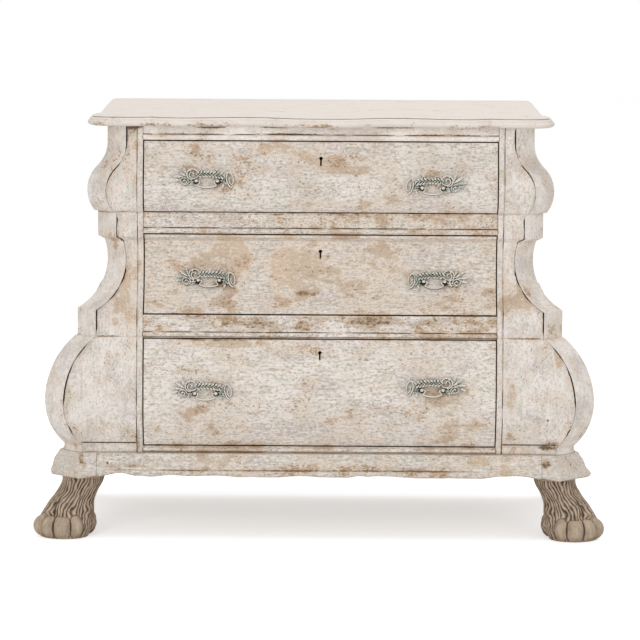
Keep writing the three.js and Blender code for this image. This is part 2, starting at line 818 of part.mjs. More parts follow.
function drawerSide(drawer) {
  const { low, high } = openings[drawer];
  const inner = frontHalf - boxThickness;
  const grooveLow = low + running + drawerBottomRise - seat;
  const grooveHigh = grooveLow + drawerBottomThickness + 2 * seat;
  const outline = [
    [frontHalf, low + running],
    [frontHalf, high - sideTopDrop],
    [inner, high - sideTopDrop],
    [inner, grooveHigh],
    [inner + grooveDepth, grooveHigh],
    [inner + grooveDepth, grooveLow],
    [inner, grooveLow],
    [inner, low + running],
  ];
  return runBack(outline, innerFace(openings[drawer]) + seat, drawerBack);
}

function drawerBottom(drawer) {
  const half = frontHalf - boxThickness + grooveDepth - seat;
  const low = openings[drawer].low + running + drawerBottomRise;
  const near = innerFace(openings[drawer]) - grooveDepth + seat;
  return box([-half, half], [near, drawerBack], [low, low + drawerBottomThickness]);
}

function drawerBackBoard(drawer) {
  const half = frontHalf - boxThickness - seat;
  const { low, high } = openings[drawer];
  const floor = low + running + drawerBottomRise + drawerBottomThickness + seat;
  return box([-half, half], [drawerBack - boxThickness, drawerBack], [floor, high - sideTopDrop]);
}

// Locks: an open box on the back of the drawer front, with a bolt that the key lifts
function lockCase(drawer) {
  const { near, bolt, high } = lockPlace(drawer);
  const keyZ = openings[drawer].high - drawerGap - keyholeDrop[drawer];
  const body = box([-lockWidth / 2, lockWidth / 2], [near, near + lockDepth], [high - lockHeight, high]);
  const room = seat;
  const pocket = box(
    [-boltWidth / 2 - room, boltWidth / 2 + room],
    [bolt[0] - room, bolt[1] + room],
    [high - boltHeight - room, high + overrun],
  );
  return cut(cut(body, pocket), keyhole(keyZ, near - overrun, near + lockWall + seat));
}

function lockBolt(drawer) {
  const { bolt, high } = lockPlace(drawer);
  return box([-boltWidth / 2, boltWidth / 2], bolt, [high - boltHeight, high]);
}

// Cast handles, drawn in X and Z about their pivot, with the outer end to +X and the thickness towards -Y
function cast(shape, curveSegments) {
  const options = { depth: plateThickness, bevelEnabled: false, curveSegments };
  return new THREE.ExtrudeGeometry(shape, options).rotateX(Math.PI / 2);
}

// An oval ring, which is how a scroll closes on itself
function scroll({ x, z, wide, high, band, turn }) {
  const shape = new THREE.Shape();
  shape.absellipse(0, 0, wide, high, 0, 2 * Math.PI, false, 0);
  const hole = new THREE.Path();
  hole.absellipse(0, 0, wide - band, high - band, 0, 2 * Math.PI, true, 0);
  shape.holes.push(hole);
  return cast(shape, 4).rotateY(-turn).translate(x, -plateStandoff, z);
}

// A leaf springs from its root, widens and ends in a point
function leaf({ x, z, length, width, turn }) {
  const shape = new THREE.Shape();
  const rootShare = 0.25;
  shape.moveTo(0, rootShare * width);
  shape.quadraticCurveTo(length / 2, width, length, 0);
  shape.quadraticCurveTo(length / 2, -width / 2, 0, -rootShare * width);
  return cast(shape, 2).rotateY(-turn).translate(x, -plateStandoff, z);
}

// A bar from one place to another, arched by its crown
function garland({ from, to, z, crown, width }) {
  const shape = new THREE.Shape();
  const middle = (from + to) / 2;
  shape.moveTo(from, -width / 2);
  shape.quadraticCurveTo(middle, crown - width / 2, to, -width / 2);
  shape.lineTo(to, width / 2);
  shape.quadraticCurveTo(middle, crown + width / 2, from, width / 2);
  return cast(shape, 2).translate(0, -plateStandoff, z);
}

const outerPost = outerPostShare * handleLength;
const innerPost = innerPostShare * handleLength;

// A row of the tables as sizes: all but its turn are shares of the handle's length
function sized({ turn, ...shares }) {
  const sizes = Object.entries(shares).map(([name, share]) => [name, share * handleLength]);
  return { turn, ...Object.fromEntries(sizes) };
}

function roundPost(x, radius, near, far) {
  return new THREE.CylinderGeometry(radius, radius, near - far, 8).translate(x, (near + far) / 2, 0);
}

function handlePlate() {
  const plateFront = -plateStandoff - plateThickness;
  const scrolls = scrollShares.map(sized).map(scroll);
  const leaves = leafShares.map(sized).map(leaf);
  const garlands = garlandShares.map(sized).map(garland);
  const pieces = [...scrolls, ...leaves, ...garlands];
  const holes = [];
  for (const [x, inward] of [[outerPost, -1], [innerPost, 1]]) {
    pieces.push(roundPost(x, postRadius, -seat, plateFront - postLength));
    pieces.push(roundPost(x, postRadius + bailRadius, -plateStandoff, plateFront));
    const radius = bailRadius + pinClearance;
    const hole = new THREE.CylinderGeometry(radius, radius, 2 * (pinLength + pinClearance), 8);
    holes.push(hole.rotateZ(Math.PI / 2).translate(x + inward * postRadius, -pivotOut, 0));
  }
  return holes.reduce(cut, join(pieces));
}

// The bail: pinned in both posts, it hangs in a shallow curve between them
function bail() {
  const outer = outerPost - postRadius;
  const inner = innerPost + postRadius;
  const middle = (outer + inner) / 2;
  const elbowShare = 0.45;
  const half = [
    [outer + pinLength, 0],
    [outer, 0],
    [outer - bailElbow + bailRadius / 2, 0],
    [outer - bailElbow, bailElbow],
    [outer - bailElbow - bailRadius, elbowShare * bailDrop + bailElbow],
    [(outer + middle) / 2, bailDrop - bailRadius / 2],
  ];
  const point = ([x, drop]) => new THREE.Vector3(x, -pivotOut, -drop);
  const mirrored = half.map(([x, drop]) => point([2 * middle - x, drop])).reverse();
  const places = [...half.map(point), point([middle, bailDrop]), ...mirrored];
  const route = new THREE.CatmullRomCurve3(places);
  const section = new THREE.Shape();
  section.absarc(0, 0, bailRadius, 0, 2 * Math.PI, false);
  const options = { extrudePath: route, steps: 18, curveSegments: 3, bevelEnabled: false };
  return new THREE.ExtrudeGeometry(section, options);
}

// A handle sits square on the drawer front, wherever the profile leans
function hangHandle(drawer, hand) {
  const { low, high } = openings[drawer];
  const place = handlePlaces[drawer][hand];
  const z = (low + high) / 2 + place.up;
  const rise = stationAt(z + postRadius).front - stationAt(z - postRadius).front;
  const group = new THREE.Group();
  const mirror = hand === "right" ? 1 : -1;
  group.position.set(mirror * (frontHalf - place.inset), -stationAt(z).front, z);
  group.rotation.x = Math.atan(rise / (2 * postRadius));
  group.scale.x = mirror;
  assembly.add(group);
  hang(drawer + "_handle_plate_" + hand, handlePlate(), verdigris, group);
  hang(drawer + "_handle_bail_" + hand, bail(), verdigris, group);
}

for (const drawer of ["bottom", "middle", "top"]) {
  hang(drawer + "_drawer_front", drawerFront(drawer), paint);
  hang(drawer + "_drawer_bottom", drawerBottom(drawer), bareWood);
  hang(drawer + "_drawer_back", drawerBackBoard(drawer), bareWood);
  hang(drawer + "_drawer_side_right", drawerSide(drawer), bareWood);
  hang(drawer + "_drawer_side_left", drawerSide(drawer), bareWood).scale.x = -1;
  hang(drawer + "_lock", lockCase(drawer), iron);
  hang(drawer + "_lock_bolt", lockBolt(drawer), iron);
  hangHandle(drawer, "right");
  hangHandle(drawer, "left");
}

// The origin moves under the middle of everything
const extent = new THREE.Box3().setFromObject(chest, true);
assembly.position.y = -(extent.min.y + extent.max.y) / 2;

export default chest;
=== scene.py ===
import math

import bpy
import numpy as np
from mathutils import Matrix, Vector, noise


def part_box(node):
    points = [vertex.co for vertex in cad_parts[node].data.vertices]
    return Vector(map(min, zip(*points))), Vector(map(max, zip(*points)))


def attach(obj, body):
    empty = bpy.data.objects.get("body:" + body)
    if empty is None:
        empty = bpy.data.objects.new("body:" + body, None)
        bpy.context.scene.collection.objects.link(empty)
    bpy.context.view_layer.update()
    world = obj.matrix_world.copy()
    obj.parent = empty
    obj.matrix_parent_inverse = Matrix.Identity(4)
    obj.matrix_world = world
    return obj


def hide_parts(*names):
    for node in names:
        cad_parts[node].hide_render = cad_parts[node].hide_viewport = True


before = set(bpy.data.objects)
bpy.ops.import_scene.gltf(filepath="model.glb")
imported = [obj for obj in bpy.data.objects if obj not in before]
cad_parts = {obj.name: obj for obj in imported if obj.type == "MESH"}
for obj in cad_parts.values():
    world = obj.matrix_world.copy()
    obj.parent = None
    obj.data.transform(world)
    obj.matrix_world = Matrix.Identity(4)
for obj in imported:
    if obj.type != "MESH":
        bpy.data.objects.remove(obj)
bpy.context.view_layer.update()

# FRONT FEET: two lion's paws of stripped, weathered oak, each carved from one block with four toes and
# with locks of fur running down the ankle. A round tenon on top is glued up into the corner block.
MM = 0.001
PAW_HEIGHT = 119.7
PAW_RINGS = [  # share of the height, then forward, long and wide as shares of the height
    (0.00, 0.44, 0.39, 0.41), (0.12, 0.44, 0.45, 0.46), (0.27, 0.41, 0.465, 0.465),
    (0.42, 0.34, 0.435, 0.425), (0.58, 0.27, 0.38, 0.37), (0.74, 0.14, 0.34, 0.34),
    (0.88, 0.02, 0.34, 0.35), (1.00, 0.00, 0.355, 0.365)]
PAW_PLACE = (475.2, -183.5)  # middle of the ankle
PAW_TURN = math.radians(-45)
# Toes, knuckles and heel: angle, reach from the palm, rise, and half sizes
TOES = [(math.radians(angle), 41, 23, (23.5, 16.5 * wide, 22.5))
        for angle, wide in ((-77, 0.92), (-43, 1.16), (-9, 1.0), (25, 0.95))]
KNUCKLES = [(math.radians(angle), 27, 54, (21, wide, 19)) for angle, wide in ((-44, 16.5), (0, 15))]
HEEL = (math.radians(-150), 47, 27, (19.5, 21.5, 26.5))
TOE_EDGE = 1.2  # how far from its middle a toe ends, in its own size
FUR_LOCKS = 38
FUR_DEPTH = 2.7
PAW_VOXEL = 1.1


def linear(hex_colour):
    """An sRGB hex colour as the linear one that a socket takes"""
    parts = [int(hex_colour[i:i + 2], 16) / 255 for i in (1, 3, 5)]
    return tuple(c / 12.92 if c <= 0.04045 else ((c + 0.055) / 1.055) ** 2.4 for c in parts) + (1.0,)


def add(tree, kind, inputs=None, **settings):
    """A node with its settings. An input takes a value, or a node or socket to link from"""
    node = tree.nodes.new(kind)
    for name, value in settings.items():
        setattr(node, name, value)
    for key, value in (inputs or {}).items():
        socket = node.inputs[key]
        if isinstance(value, bpy.types.Node):
            value = next(output for output in value.outputs if output.enabled)
        if isinstance(value, bpy.types.NodeSocket):
            tree.links.new(value, socket)
        else:
            socket.default_value = value
    return node


def new_material(name):
    material = bpy.data.materials.new(name)
    material.use_nodes = True
    material.node_tree.nodes.clear()
    return material, material.node_tree


def veil(tree, coat, colour, texture, none, full, strength=1.0):
    """Lays a colour over the coat, from none of it to its full strength as a texture rises"""
    share = add(tree, "ShaderNodeMapRange", {0: texture, 1: none, 2: full, 3: 0.0, 4: strength})
    return add(tree, "ShaderNodeMix", {0: share, 6: coat, 7: linear(colour)}, data_type="RGBA").outputs[2]


def stretched(grain, share):
    """The scales that draw a pattern out along one axis"""
    return tuple(share if axis == grain else 1 for axis in "XYZ")


def surfaced(material, colour, roughness, height, strength, depth, more=None):
    """Ends a material in one shader, whose surface rises and falls with a height by a depth in millimetres"""
    tree = material.node_tree
    bump = add(tree, "ShaderNodeBump", {"Height": height, "Strength": strength, "Distance": depth * MM})
    shader = add(tree, "ShaderNodeBsdfPrincipled",
                 {"Base Color": colour, "Roughness": roughness, "Normal": bump, **(more or {})})
    add(tree, "ShaderNodeOutputMaterial", {"Surface": shader})
    return material


def clamp(value, low=0, high=1):
    return min(max(value, low), high)


def circle(count):
    """The cosine and sine of each step round a circle"""
    return [(math.cos(a), math.sin(a)) for a in (2 * math.pi * step / count for step in range(count))]


def placed(centre, x, y, turn):
    """A point turned about the origin and moved to a centre"""
    return (centre[0] + x * math.cos(turn) - y * math.sin(turn),
            centre[1] + x * math.sin(turn) + y * math.cos(turn))


def linked(name, data):
    """A new object in the scene, at the origin"""
    made = bpy.data.objects.new(name, data)
    bpy.context.scene.collection.objects.link(made)
    return made


def piece_from(name, points, faces, material, crease=40):
    """A piece at the origin from points in millimetres, smooth but for edges sharper than the crease"""
    mesh = bpy.data.meshes.new(name)
    mesh.from_pydata([tuple(c * MM for c in p) for p in points], [], faces)
    mesh.shade_smooth()
    mesh.set_sharp_from_angle(angle=math.radians(crease))
    mesh.materials.append(material)
    return linked(name, mesh)


def ring_faces(rings, count):
    """Faces of a solid whose rings run anticlockwise seen from above, the lowest first"""
    faces = []
    for ring in range(rings - 1):
        low, high = ring * count, (ring + 1) * count
        faces += [(low + i, low + (i + 1) % count, high + (i + 1) % count, high + i) for i in range(count)]
    return faces + [tuple(reversed(range(count))), tuple(range((rings - 1) * count, rings * count))]


def dress(piece, body, node):
    """The piece rides on its body in place of the CAD node that it stands for"""
    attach(piece, body)
    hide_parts(node)


def both_hands(name, make, node):
    """A piece of the case drawn on the right and its mirror image on the left, in place of their nodes"""
    right = make("right_" + name)
    left = linked("left_" + name, right.data.copy())
    left.data.transform(Matrix.Scale(-1, 4, (1, 0, 0)))
    left.data.flip_normals()
    dress(right, "case", "right_" + node)
    dress(left, "case", "left_" + node)
    return right, left


def baked(piece):
    """The piece with its modifiers made real"""
    bpy.context.view_layer.update()
    evaluated = piece.evaluated_get(bpy.context.evaluated_depsgraph_get())
    mesh = bpy.data.meshes.new_from_object(evaluated)
    mesh.name = piece.name
    piece.modifiers.clear()
    piece.data = mesh
    return piece


def fused(piece, voxel, passes):
    """Solids that overlap become one skin of small squares, and are eased by so many passes"""
    skin = piece.modifiers.new("fuse", "REMESH")
    skin.mode, skin.voxel_size, skin.use_smooth_shade = "VOXEL", voxel * MM, True
    ease = piece.modifiers.new("ease", "SMOOTH")
    ease.factor, ease.iterations = 0.5, passes
    return baked(piece)


def store_carving(mesh, depths):
    """Keeps with each point how deep it is carved, for its material to read"""
    mesh.attributes.new("carving", "FLOAT", "POINT").data.foreach_set("value", depths)


def stripped_oak():
    """Stripped oak that was once painted: dry and matt, its ridges rubbed pale and its cuts still dark with
    old stain. The attribute carving is 1 on the ridges and falls as the chisel goes deeper"""
    material, tree = new_material("stripped_oak")
    place = add(tree, "ShaderNodeTexCoord").outputs["Object"]
    depth = add(tree, "ShaderNodeAttribute", attribute_name="carving").outputs["Fac"]
    stretch = add(tree, "ShaderNodeMapping", {"Vector": place, "Scale": stretched("Z", 0.22)})
    grain = add(tree, "ShaderNodeTexNoise", {"Vector": stretch, "Scale": 300, "Detail": 5, "Roughness": 0.65})
    cloud = add(tree, "ShaderNodeTexNoise", {"Vector": place, "Scale": 55, "Detail": 5, "Roughness": 0.7})
    colour = veil(tree, linear("#7C6450"), "#B09A84", cloud, 0.4, 0.6)
    colour = veil(tree, colour, "#6E5B49", grain, 0.5, 0.64, 0.6)
    colour = veil(tree, colour, "#D0BFA8", depth, 0.8, 1.0, 0.7)
    colour = veil(tree, colour, "#3A2C22", depth, 0.75, 0.3)
    return surfaced(material, colour, 0.72, grain, 0.35, 0.6)


def paw_ring(up):
    """Forward place and half sizes of the paw at a share of its height"""
    table = np.array(PAW_RINGS)
    smooth = [np.mean([np.interp(up + step, table[:, 0], table[:, k]) for step in (-0.04, 0, 0.04)])
              for k in (1, 2, 3)]
    return [share * PAW_HEIGHT for share in smooth]


def ball(centre, half, turn):
    """Points and faces of an ellipsoid whose long axis points along the turn"""
    points, rows, columns = [], 16, 24
    for row in range(1, rows):
        lift, girth = -math.cos(math.pi * row / rows), math.sin(math.pi * row / rows)
        for cos, sin in circle(columns):
            x, y = placed(centre, half[0] * girth * cos, half[1] * girth * sin, turn)
            points.append((x, y, centre[2] + half[2] * lift))
    return points, ring_faces(rows - 1, columns)


def carved_paw(name):
    """The right paw: solid shapes fused, cut with fur and toe lines, and then set under its corner"""
    points, levels, around = [], 40, 48
    for level in range(levels + 1):
        up = level / levels
        forward, long_, wide = paw_ring(up)
        points += [(forward + long_ * cos, wide * sin, up * PAW_HEIGHT) for cos, sin in circle(around)]
    faces = ring_faces(levels + 1, around)
    palm = PAW_HEIGHT * PAW_RINGS[0][1]
    for angle, reach, rise, size in TOES + KNUCKLES + [HEEL]:
        centre = (palm + reach * math.cos(angle), reach * math.sin(angle), rise)
        more, their_faces = ball(centre, size, angle)
        faces += [tuple(i + len(points) for i in face) for face in their_faces]
        points += more
    paw = fused(piece_from(name, points, faces, oak), PAW_VOXEL, 3)

    def nearest(lumps, x, y, z):
        """How far the nearest and the next lump are, in their own sizes, and how far aside of the nearest"""
        found = []
        for angle, reach, rise, size in lumps:
            along = (x - palm) * math.cos(angle) + y * math.sin(angle) - reach
            aside = y * math.cos(angle) - (x - palm) * math.sin(angle)
            away = math.hypot(along / size[0], aside / size[1], (z - rise) / size[2])
            found.append((away, aside / size[1]))
        found.sort()
        return found[0][0], found[1][0], found[0][1]

    def rising(value, foot, width):
        return clamp((value - foot) / width)

    carving = []
    for vertex, normal in zip(paw.data.vertices, [v.normal.copy() for v in paw.data.vertices]):
        x, y, z = (c / MM for c in vertex.co)
        forward, _, _ = paw_ring(clamp(z / PAW_HEIGHT))
        angle = math.atan2(y, x - forward)
        toe, next_toe, _ = nearest(TOES, x, y, z)
        knuckle, next_knuckle, aside = nearest(KNUCKLES, x, y, z)
        # Locks run down the ankle, bend outwards at its foot and fan over the knuckles
        sway = 0.16 * noise.noise((angle * 1.6, z / 24, 0)) + 0.10 * noise.noise((angle * 4, z / 12, 5))
        fan = 0.08 * clamp(aside, -1) * rising(1.9 - knuckle, 0, 0.9)
        wave = abs(math.sin(FUR_LOCKS / 2 * (angle + sway + fan)))
        deep = 0.55 + 0.45 * rising(noise.noise((angle * 5, z / 18, 9)), -0.5, 0.8)
        fur = 1 - deep * (1 - wave ** 0.75)
        fur = min(fur, 0.35 + 0.65 * rising(next_knuckle - knuckle, 0.02, 0.22) + rising(knuckle, 1.3, 0.3))
        # Where two toes, or a toe and the fur above it, are equally near, a line is cut between them
        on_toe = rising(TOE_EDGE - toe, 0, 0.06) * rising(knuckle * 1.03 - toe, 0, 0.05)
        smooth = min(rising(next_toe - toe, 0, 0.17), rising(min(knuckle * 1.03, TOE_EDGE) - toe, 0, 0.15))
        depth = fur * (1 - on_toe) + (0.88 * smooth ** 0.7 + 0.06 * fur) * on_toe
        if z > PAW_HEIGHT * 0.97 or z < 1:
            depth = 1
        cut = (1 - depth) * FUR_DEPTH * rising(z, 0, 6)
        vertex.co = (Vector((x, y, z)) - normal * cut) * MM
        carving.append(depth)
    store_carving(paw.data, carving)
    paw.data.transform(Matrix.Translation((PAW_PLACE[0] * MM, PAW_PLACE[1] * MM, 0))
                       @ Matrix.Rotation(PAW_TURN, 4, "Z"))
    return paw


oak = stripped_oak()
both_hands("paw_foot", carved_paw, "front_foot")

# PLINTH: pine mouldings under a chalky off-white paint, run with a moulding plane, mitred at the corner
# blocks and nailed to the case. Two centuries of mopping have worn the lower lip into waves.
CASE_DEPTH = 475  # from the plane of the front's waist to the back
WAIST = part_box("right_side")[1].y / MM - CASE_DEPTH
PLINTH_LOW, PLINTH_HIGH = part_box("front_plinth")[0].z / MM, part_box("front_plinth")[1].z / MM
PLINTH_FACE, PLINTH_HALF, PLINTH_FLARE, PLINTH_CANT, PLINTH_THICK = -45, 530, 20, 53, 60
SIDE_INSET, BLOCK_TAPER, SIDE_TAPER = 15, 26, 9  # the caps draw in towards their top
LEFT_LIP, LEFT_RUB = -0.537, 0.62  # beyond here, in metres, the left block's lip is rubbed shorter
# How far each turn of the moulding stands out, as a share of the flare, and its height as a share
MOULDING = [
    (0.70, 0.0), (0.90, 0.03), (1.0, 0.10), (1.0, 0.20), (0.86, 0.28), (0.66, 0.34), (0.56, 0.46),
    (0.42, 0.62), (0.26, 0.76), (0.08, 0.91), (0.0, 1.0)]
MOULDING_ROUNDS = [2.5] + [0.8] * 9 + [1.5, 0, 0]
# Wear and stains: x, z, half width and half height in millimetres, and how much
PLINTH_WEAR = [
    (0, 141, 70, 10, 0.12), (320, 158, 22, 10, 0.3), (372, 142, 14, 16, 0.25), (-410, 141, 60, 10, 0.12)]
PLINTH_STAINS = [
    (0, 138, 60, 8, 0.16), (-400, 146, 44, 9, 0.2), (-330, 150, 50, 10, 0.12), (150, 140, 90, 8, 0.1),
    (0, 146, 440, 5, 0.1), (-424, 152, 2.6, 2.6, 0.5), (-190, 139, 230, 1.8, 0.3),
    (210, 139.5, 190, 1.6, 0.26)]
BLOCK_STAINS = [
    (-477, 160, 6, 13, 0.26), (-470, 146, 6, 9, 0.2), (452, 156, 12, 11, 0.28), (462, 150, 22, 12, 0.14)]


def chalk_paint(name, grain, wear, flecks, grime_and_shade, white="#ECE4DD", places=(), stains_and_shade=(), tints=1.0):
    """Off-white chalk paint rubbed through to tan wood, dry and matt. Grain is the axis that it was brushed
    along, wear how much is rubbed off, flecks how speckled it is, and grime how much dirt and painted shade
    darken its corners. Places are spots worn more or less by hand and sun, and stains are dark spots, some
    of them painted shade under the top"""
    material, tree = new_material(name)
    spot = add(tree, "ShaderNodeTexCoord").outputs["Object"]
    patch_draw, fibre_draw = (0.8, 0.07) if grain == "Z" else (0.6, 0.1)
    brushed = add(tree, "ShaderNodeMapping", {"Vector": spot, "Scale": stretched(grain, patch_draw)})
    fibre = add(tree, "ShaderNodeMapping", {"Vector": spot, "Scale": stretched(grain, fibre_draw)})
    # Drifts of a hand's breadth, ragged patches of 40 mm, flakes of 4 mm and brush marks of 3 mm
    drift = add(tree, "ShaderNodeTexNoise", {"Vector": spot, "Scale": 7, "Detail": 3, "Roughness": 0.5})
    patch = add(tree, "ShaderNodeTexNoise", {"Vector": brushed, "Scale": 25, "Detail": 12, "Roughness": 0.66})
    flake = add(tree, "ShaderNodeTexNoise", {"Vector": brushed, "Scale": 230, "Detail": 5, "Roughness": 0.65})
    streak = add(tree, "ShaderNodeTexNoise", {"Vector": fibre, "Scale": 340, "Detail": 5, "Roughness": 0.62})

    def gathered(total, spots):
        """Adds to a texture within each spot"""
        for x, z, half_x, half_z, amount in spots:
            away = add(tree, "ShaderNodeVectorMath", {0: spot, 1: (x * MM, 0, z * MM)}, operation="SUBTRACT")
            away = add(tree, "ShaderNodeVectorMath", {0: away, 1: (1 / (half_x * MM), 0, 1 / (half_z * MM))},
                       operation="MULTIPLY")
            length = add(tree, "ShaderNodeVectorMath", {0: away}, operation="LENGTH").outputs["Value"]
            within = add(tree, "ShaderNodeMapRange", {0: length, 1: 1.3, 2: 0.5, 3: 0.0, 4: amount})
            total = add(tree, "ShaderNodeMath", {0: total, 1: within}, operation="ADD")
        return total

    worn = add(tree, "ShaderNodeMath", {0: drift, 1: 0.5, 2: patch}, operation="MULTIPLY_ADD")
    worn = add(tree, "ShaderNodeMath", {0: flake, 1: 0.25, 2: worn}, operation="MULTIPLY_ADD")
    worn = gathered(worn, places)
    edge = 1.03 - 0.2 * wear
    # The paint has aged in three tints: lilac grey, peach and a grey green
    coat = linear(white)
    for colour, scale, strength in (("#D3C8C4", 17, 0.85), ("#DECBB8", 29, 0.6), ("#CECCBE", 41, 0.6)):
        tint = add(tree, "ShaderNodeTexNoise", {"Vector": brushed, "Scale": scale, "Detail": 7,
                                                "Roughness": 0.65})
        coat = veil(tree, coat, colour, tint, 0.5, 0.62, strength * tints)
    # Mottles light and dark, and brush marks
    coat = veil(tree, coat, "#F6F0EA", flake, 0.53, 0.58, 0.7 * flecks)
    coat = veil(tree, coat, "#AFA395", flake, 0.47, 0.41, 0.8 * flecks)
    coat = veil(tree, coat, "#AFA395", streak, 0.55, 0.61, 0.42 * flecks)
    coat = veil(tree, coat, "#F5EFE9", streak, 0.45, 0.39, 0.5 * flecks)
    # It thins softly, stands in a bright lip, and has broken away in flakes with ragged edges
    coat = veil(tree, coat, "#D8C5B0", worn, edge - 0.13, edge, 0.55)
    coat = veil(tree, coat, "#F3ECE4", worn, edge - 0.03, edge - 0.01, 0.55)
    wood = veil(tree, linear("#D6BDA2"), "#C5B098", drift, 0.42, 0.6)
    wood = veil(tree, wood, "#C4A189", patch, 0.54, 0.64, 0.45)
    wood = veil(tree, wood, "#A8937A", streak, 0.52, 0.62, 0.5)
    wood = veil(tree, wood, "#E9E0D6", flake, 0.56, 0.6, 0.7)
    bare = add(tree, "ShaderNodeMapRange", {0: worn, 1: edge - 0.005, 2: edge + 0.035, 3: 0.0, 4: 0.85})
    coat = add(tree, "ShaderNodeMix", {0: bare, 6: coat, 7: wood}, data_type="RGBA").outputs[2]
    # Pits and fly specks in swarms, and dirt mixed with painted shade in the corners, read from ambient
    # occlusion
    speck = add(tree, "ShaderNodeTexNoise", {"Vector": brushed, "Scale": 270, "Detail": 2, "Roughness": 0.8})
    speck = add(tree, "ShaderNodeMath", {0: patch, 1: 0.5, 2: speck}, operation="MULTIPLY_ADD")
    coat = veil(tree, coat, "#7B705F", speck, 0.94 - 0.06 * flecks, 0.98 - 0.06 * flecks, 0.8)
    # Dark stains, and under the top and along the frieze thin dark lines that are partly painted shade
    if stains_and_shade:
        stain = gathered(add(tree, "ShaderNodeMath", {0: patch, 1: flake}, operation="ADD"), stains_and_shade)
        coat = veil(tree, coat, "#A98A68", stain, 1.16, 1.26, 0.75)
        coat = veil(tree, coat, "#5F503F", stain, 1.30, 1.38, 0.8)
    shut = add(tree, "ShaderNodeAmbientOcclusion", {"Distance": 0.006}, samples=5)
    grime_and_shade_mask = add(tree, "ShaderNodeMath", {0: patch, 1: -1.2, 2: shut.outputs["AO"]}, operation="MULTIPLY_ADD")
    grime_and_shade_mask = add(tree, "ShaderNodeMath", {0: flake, 1: -0.6, 2: grime_and_shade_mask}, operation="MULTIPLY_ADD")
    coat = veil(tree, coat, "#BD9F7D", grime_and_shade_mask, -0.12, -0.42, grime_and_shade)
    coat = veil(tree, coat, "#5E4B3A", grime_and_shade_mask, -0.38, -0.66, 1.5 * grime_and_shade)
    # Near black painted shade deep in the crevices and gaps
    coat = veil(tree, coat, "#1E1712", shut.outputs["AO"], 0.3, 0.12)
    height = add(tree, "ShaderNodeMath", {0: bare, 1: -0.5, 2: flake}, operation="MULTIPLY_ADD")
    height = add(tree, "ShaderNodeMath", {0: streak, 1: 0.8, 2: height}, operation="MULTIPLY_ADD")
    return surfaced(material, coat, 0.86, height, 0.6, 0.9, {"Specular IOR Level": 0.3})


def rounded(points, radii, steps=3):
    """A polygon whose corners are rounded, each by its own radius"""
    out, count = [], len(points)
    for i, (x, y) in enumerate(points):
        radius = radii[i] if isinstance(radii, (list, tuple)) else radii
        if radius <= 0:
            out.append((x, y))
            continue
        here = Vector((x, y))
        before, after = Vector(points[i - 1]) - here, Vector(points[(i + 1) % count]) - here
        reach = min(radius, 0.45 * before.length, 0.45 * after.length)
        start, end = here + before.normalized() * reach, here + after.normalized() * reach
        for step in range(steps + 1):
            share = step / steps
            out.append(tuple((1 - share) ** 2 * start + 2 * share * (1 - share) * here + share ** 2 * end))
    return out


def run_between(name, section, low, high, pitch, material, axis="X", shift=None, crease=40):
    """A section in depth and height run along X, or in X and height along Y, with a ring every pitch. The
    shift moves a point, to wear or warp the board"""
    rings = max(2, round((high - low) / pitch) + 1)
    area = sum(a[0] * b[1] - b[0] * a[1] for a, b in zip(section, section[1:] + section[:1]))
    section = section if area > 0 else section[::-1]
    points = []
    for ring in range(rings):
        along = low + (high - low) * ring / (rings - 1)
        for across, z in section:
            point = (along, across, z) if axis == "X" else (across, along, z)
            points.append(shift(*point) if shift else point)
    faces = ring_faces(rings, len(section))
    if axis == "Y":
        faces = [tuple(reversed(face)) for face in faces]
    return piece_from(name, points, faces, material, crease)


def moulding_section(face, way, taper=0):
    """The plinth's section behind a face that looks one way or the other along its axis"""
    tall = PLINTH_HIGH - PLINTH_LOW
    section = [(face + way * out * PLINTH_FLARE - way * taper * up, PLINTH_LOW + up * tall)
               for out, up in MOULDING]
    section += [(face - way * PLINTH_THICK, PLINTH_HIGH), (face - way * PLINTH_THICK, PLINTH_LOW)]
    return rounded(section, MOULDING_ROUNDS)


def mopped(x, y, z):
    """Lifts and blunts the plinth's lip in long waves, most of all left of the middle"""
    low = max(0, 1 - (z - PLINTH_LOW) / 16)
    wave = max(0, noise.noise((x / 90, 4.2, 1.7))) * 9 + max(0, noise.noise((x / 31, 1.1, 8.0))) * 3
    wave += 7 * math.exp(-((x + 400) / 26) ** 2)
    blunt = max(0, noise.noise((x / 47, 7.7, 3.1))) * 3
    return x, y + low * (blunt + 0.25 * wave), z + low * wave


plinth_paint = chalk_paint("chalk_paint_on_plinth", "X", wear=0.3, flecks=0.9, grime_and_shade=0.7, white="#D5CEC5",
                           places=PLINTH_WEAR, stains_and_shade=PLINTH_STAINS)
low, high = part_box("front_plinth")
front_plinth = run_between("front_plinth_moulding", moulding_section(WAIST + PLINTH_FACE, -1),
                           low.x / MM, high.x / MM, 7, plinth_paint, shift=mopped)
dress(front_plinth, "case", "front_plinth")


def offset_outline(points, edge_shares, offset):
    """Moves each edge of an outline out by its own share of the offset"""
    out = []
    for i, point in enumerate(points):
        before, after = points[i - 1], points[(i + 1) % len(points)]
        first = Vector((point[1] - before[1], before[0] - point[0])).normalized()
        second = Vector((after[1] - point[1], point[0] - after[0])).normalized()
        a, b = offset * edge_shares[i - 1], offset * edge_shares[i]
        turn = first.x * second.y - first.y * second.x
        out.append((point[0] + (a * second.y - b * first.y) / turn,
                    point[1] + (b * first.x - a * second.x) / turn))
    return out


def stacked(rings):
    """Points and faces of a solid from rings of (x, y) at heights"""
    points = [(x, y, z) for z, ring in rings for x, y in ring]
    return points, ring_faces(len(rings), len(rings[0][1]))


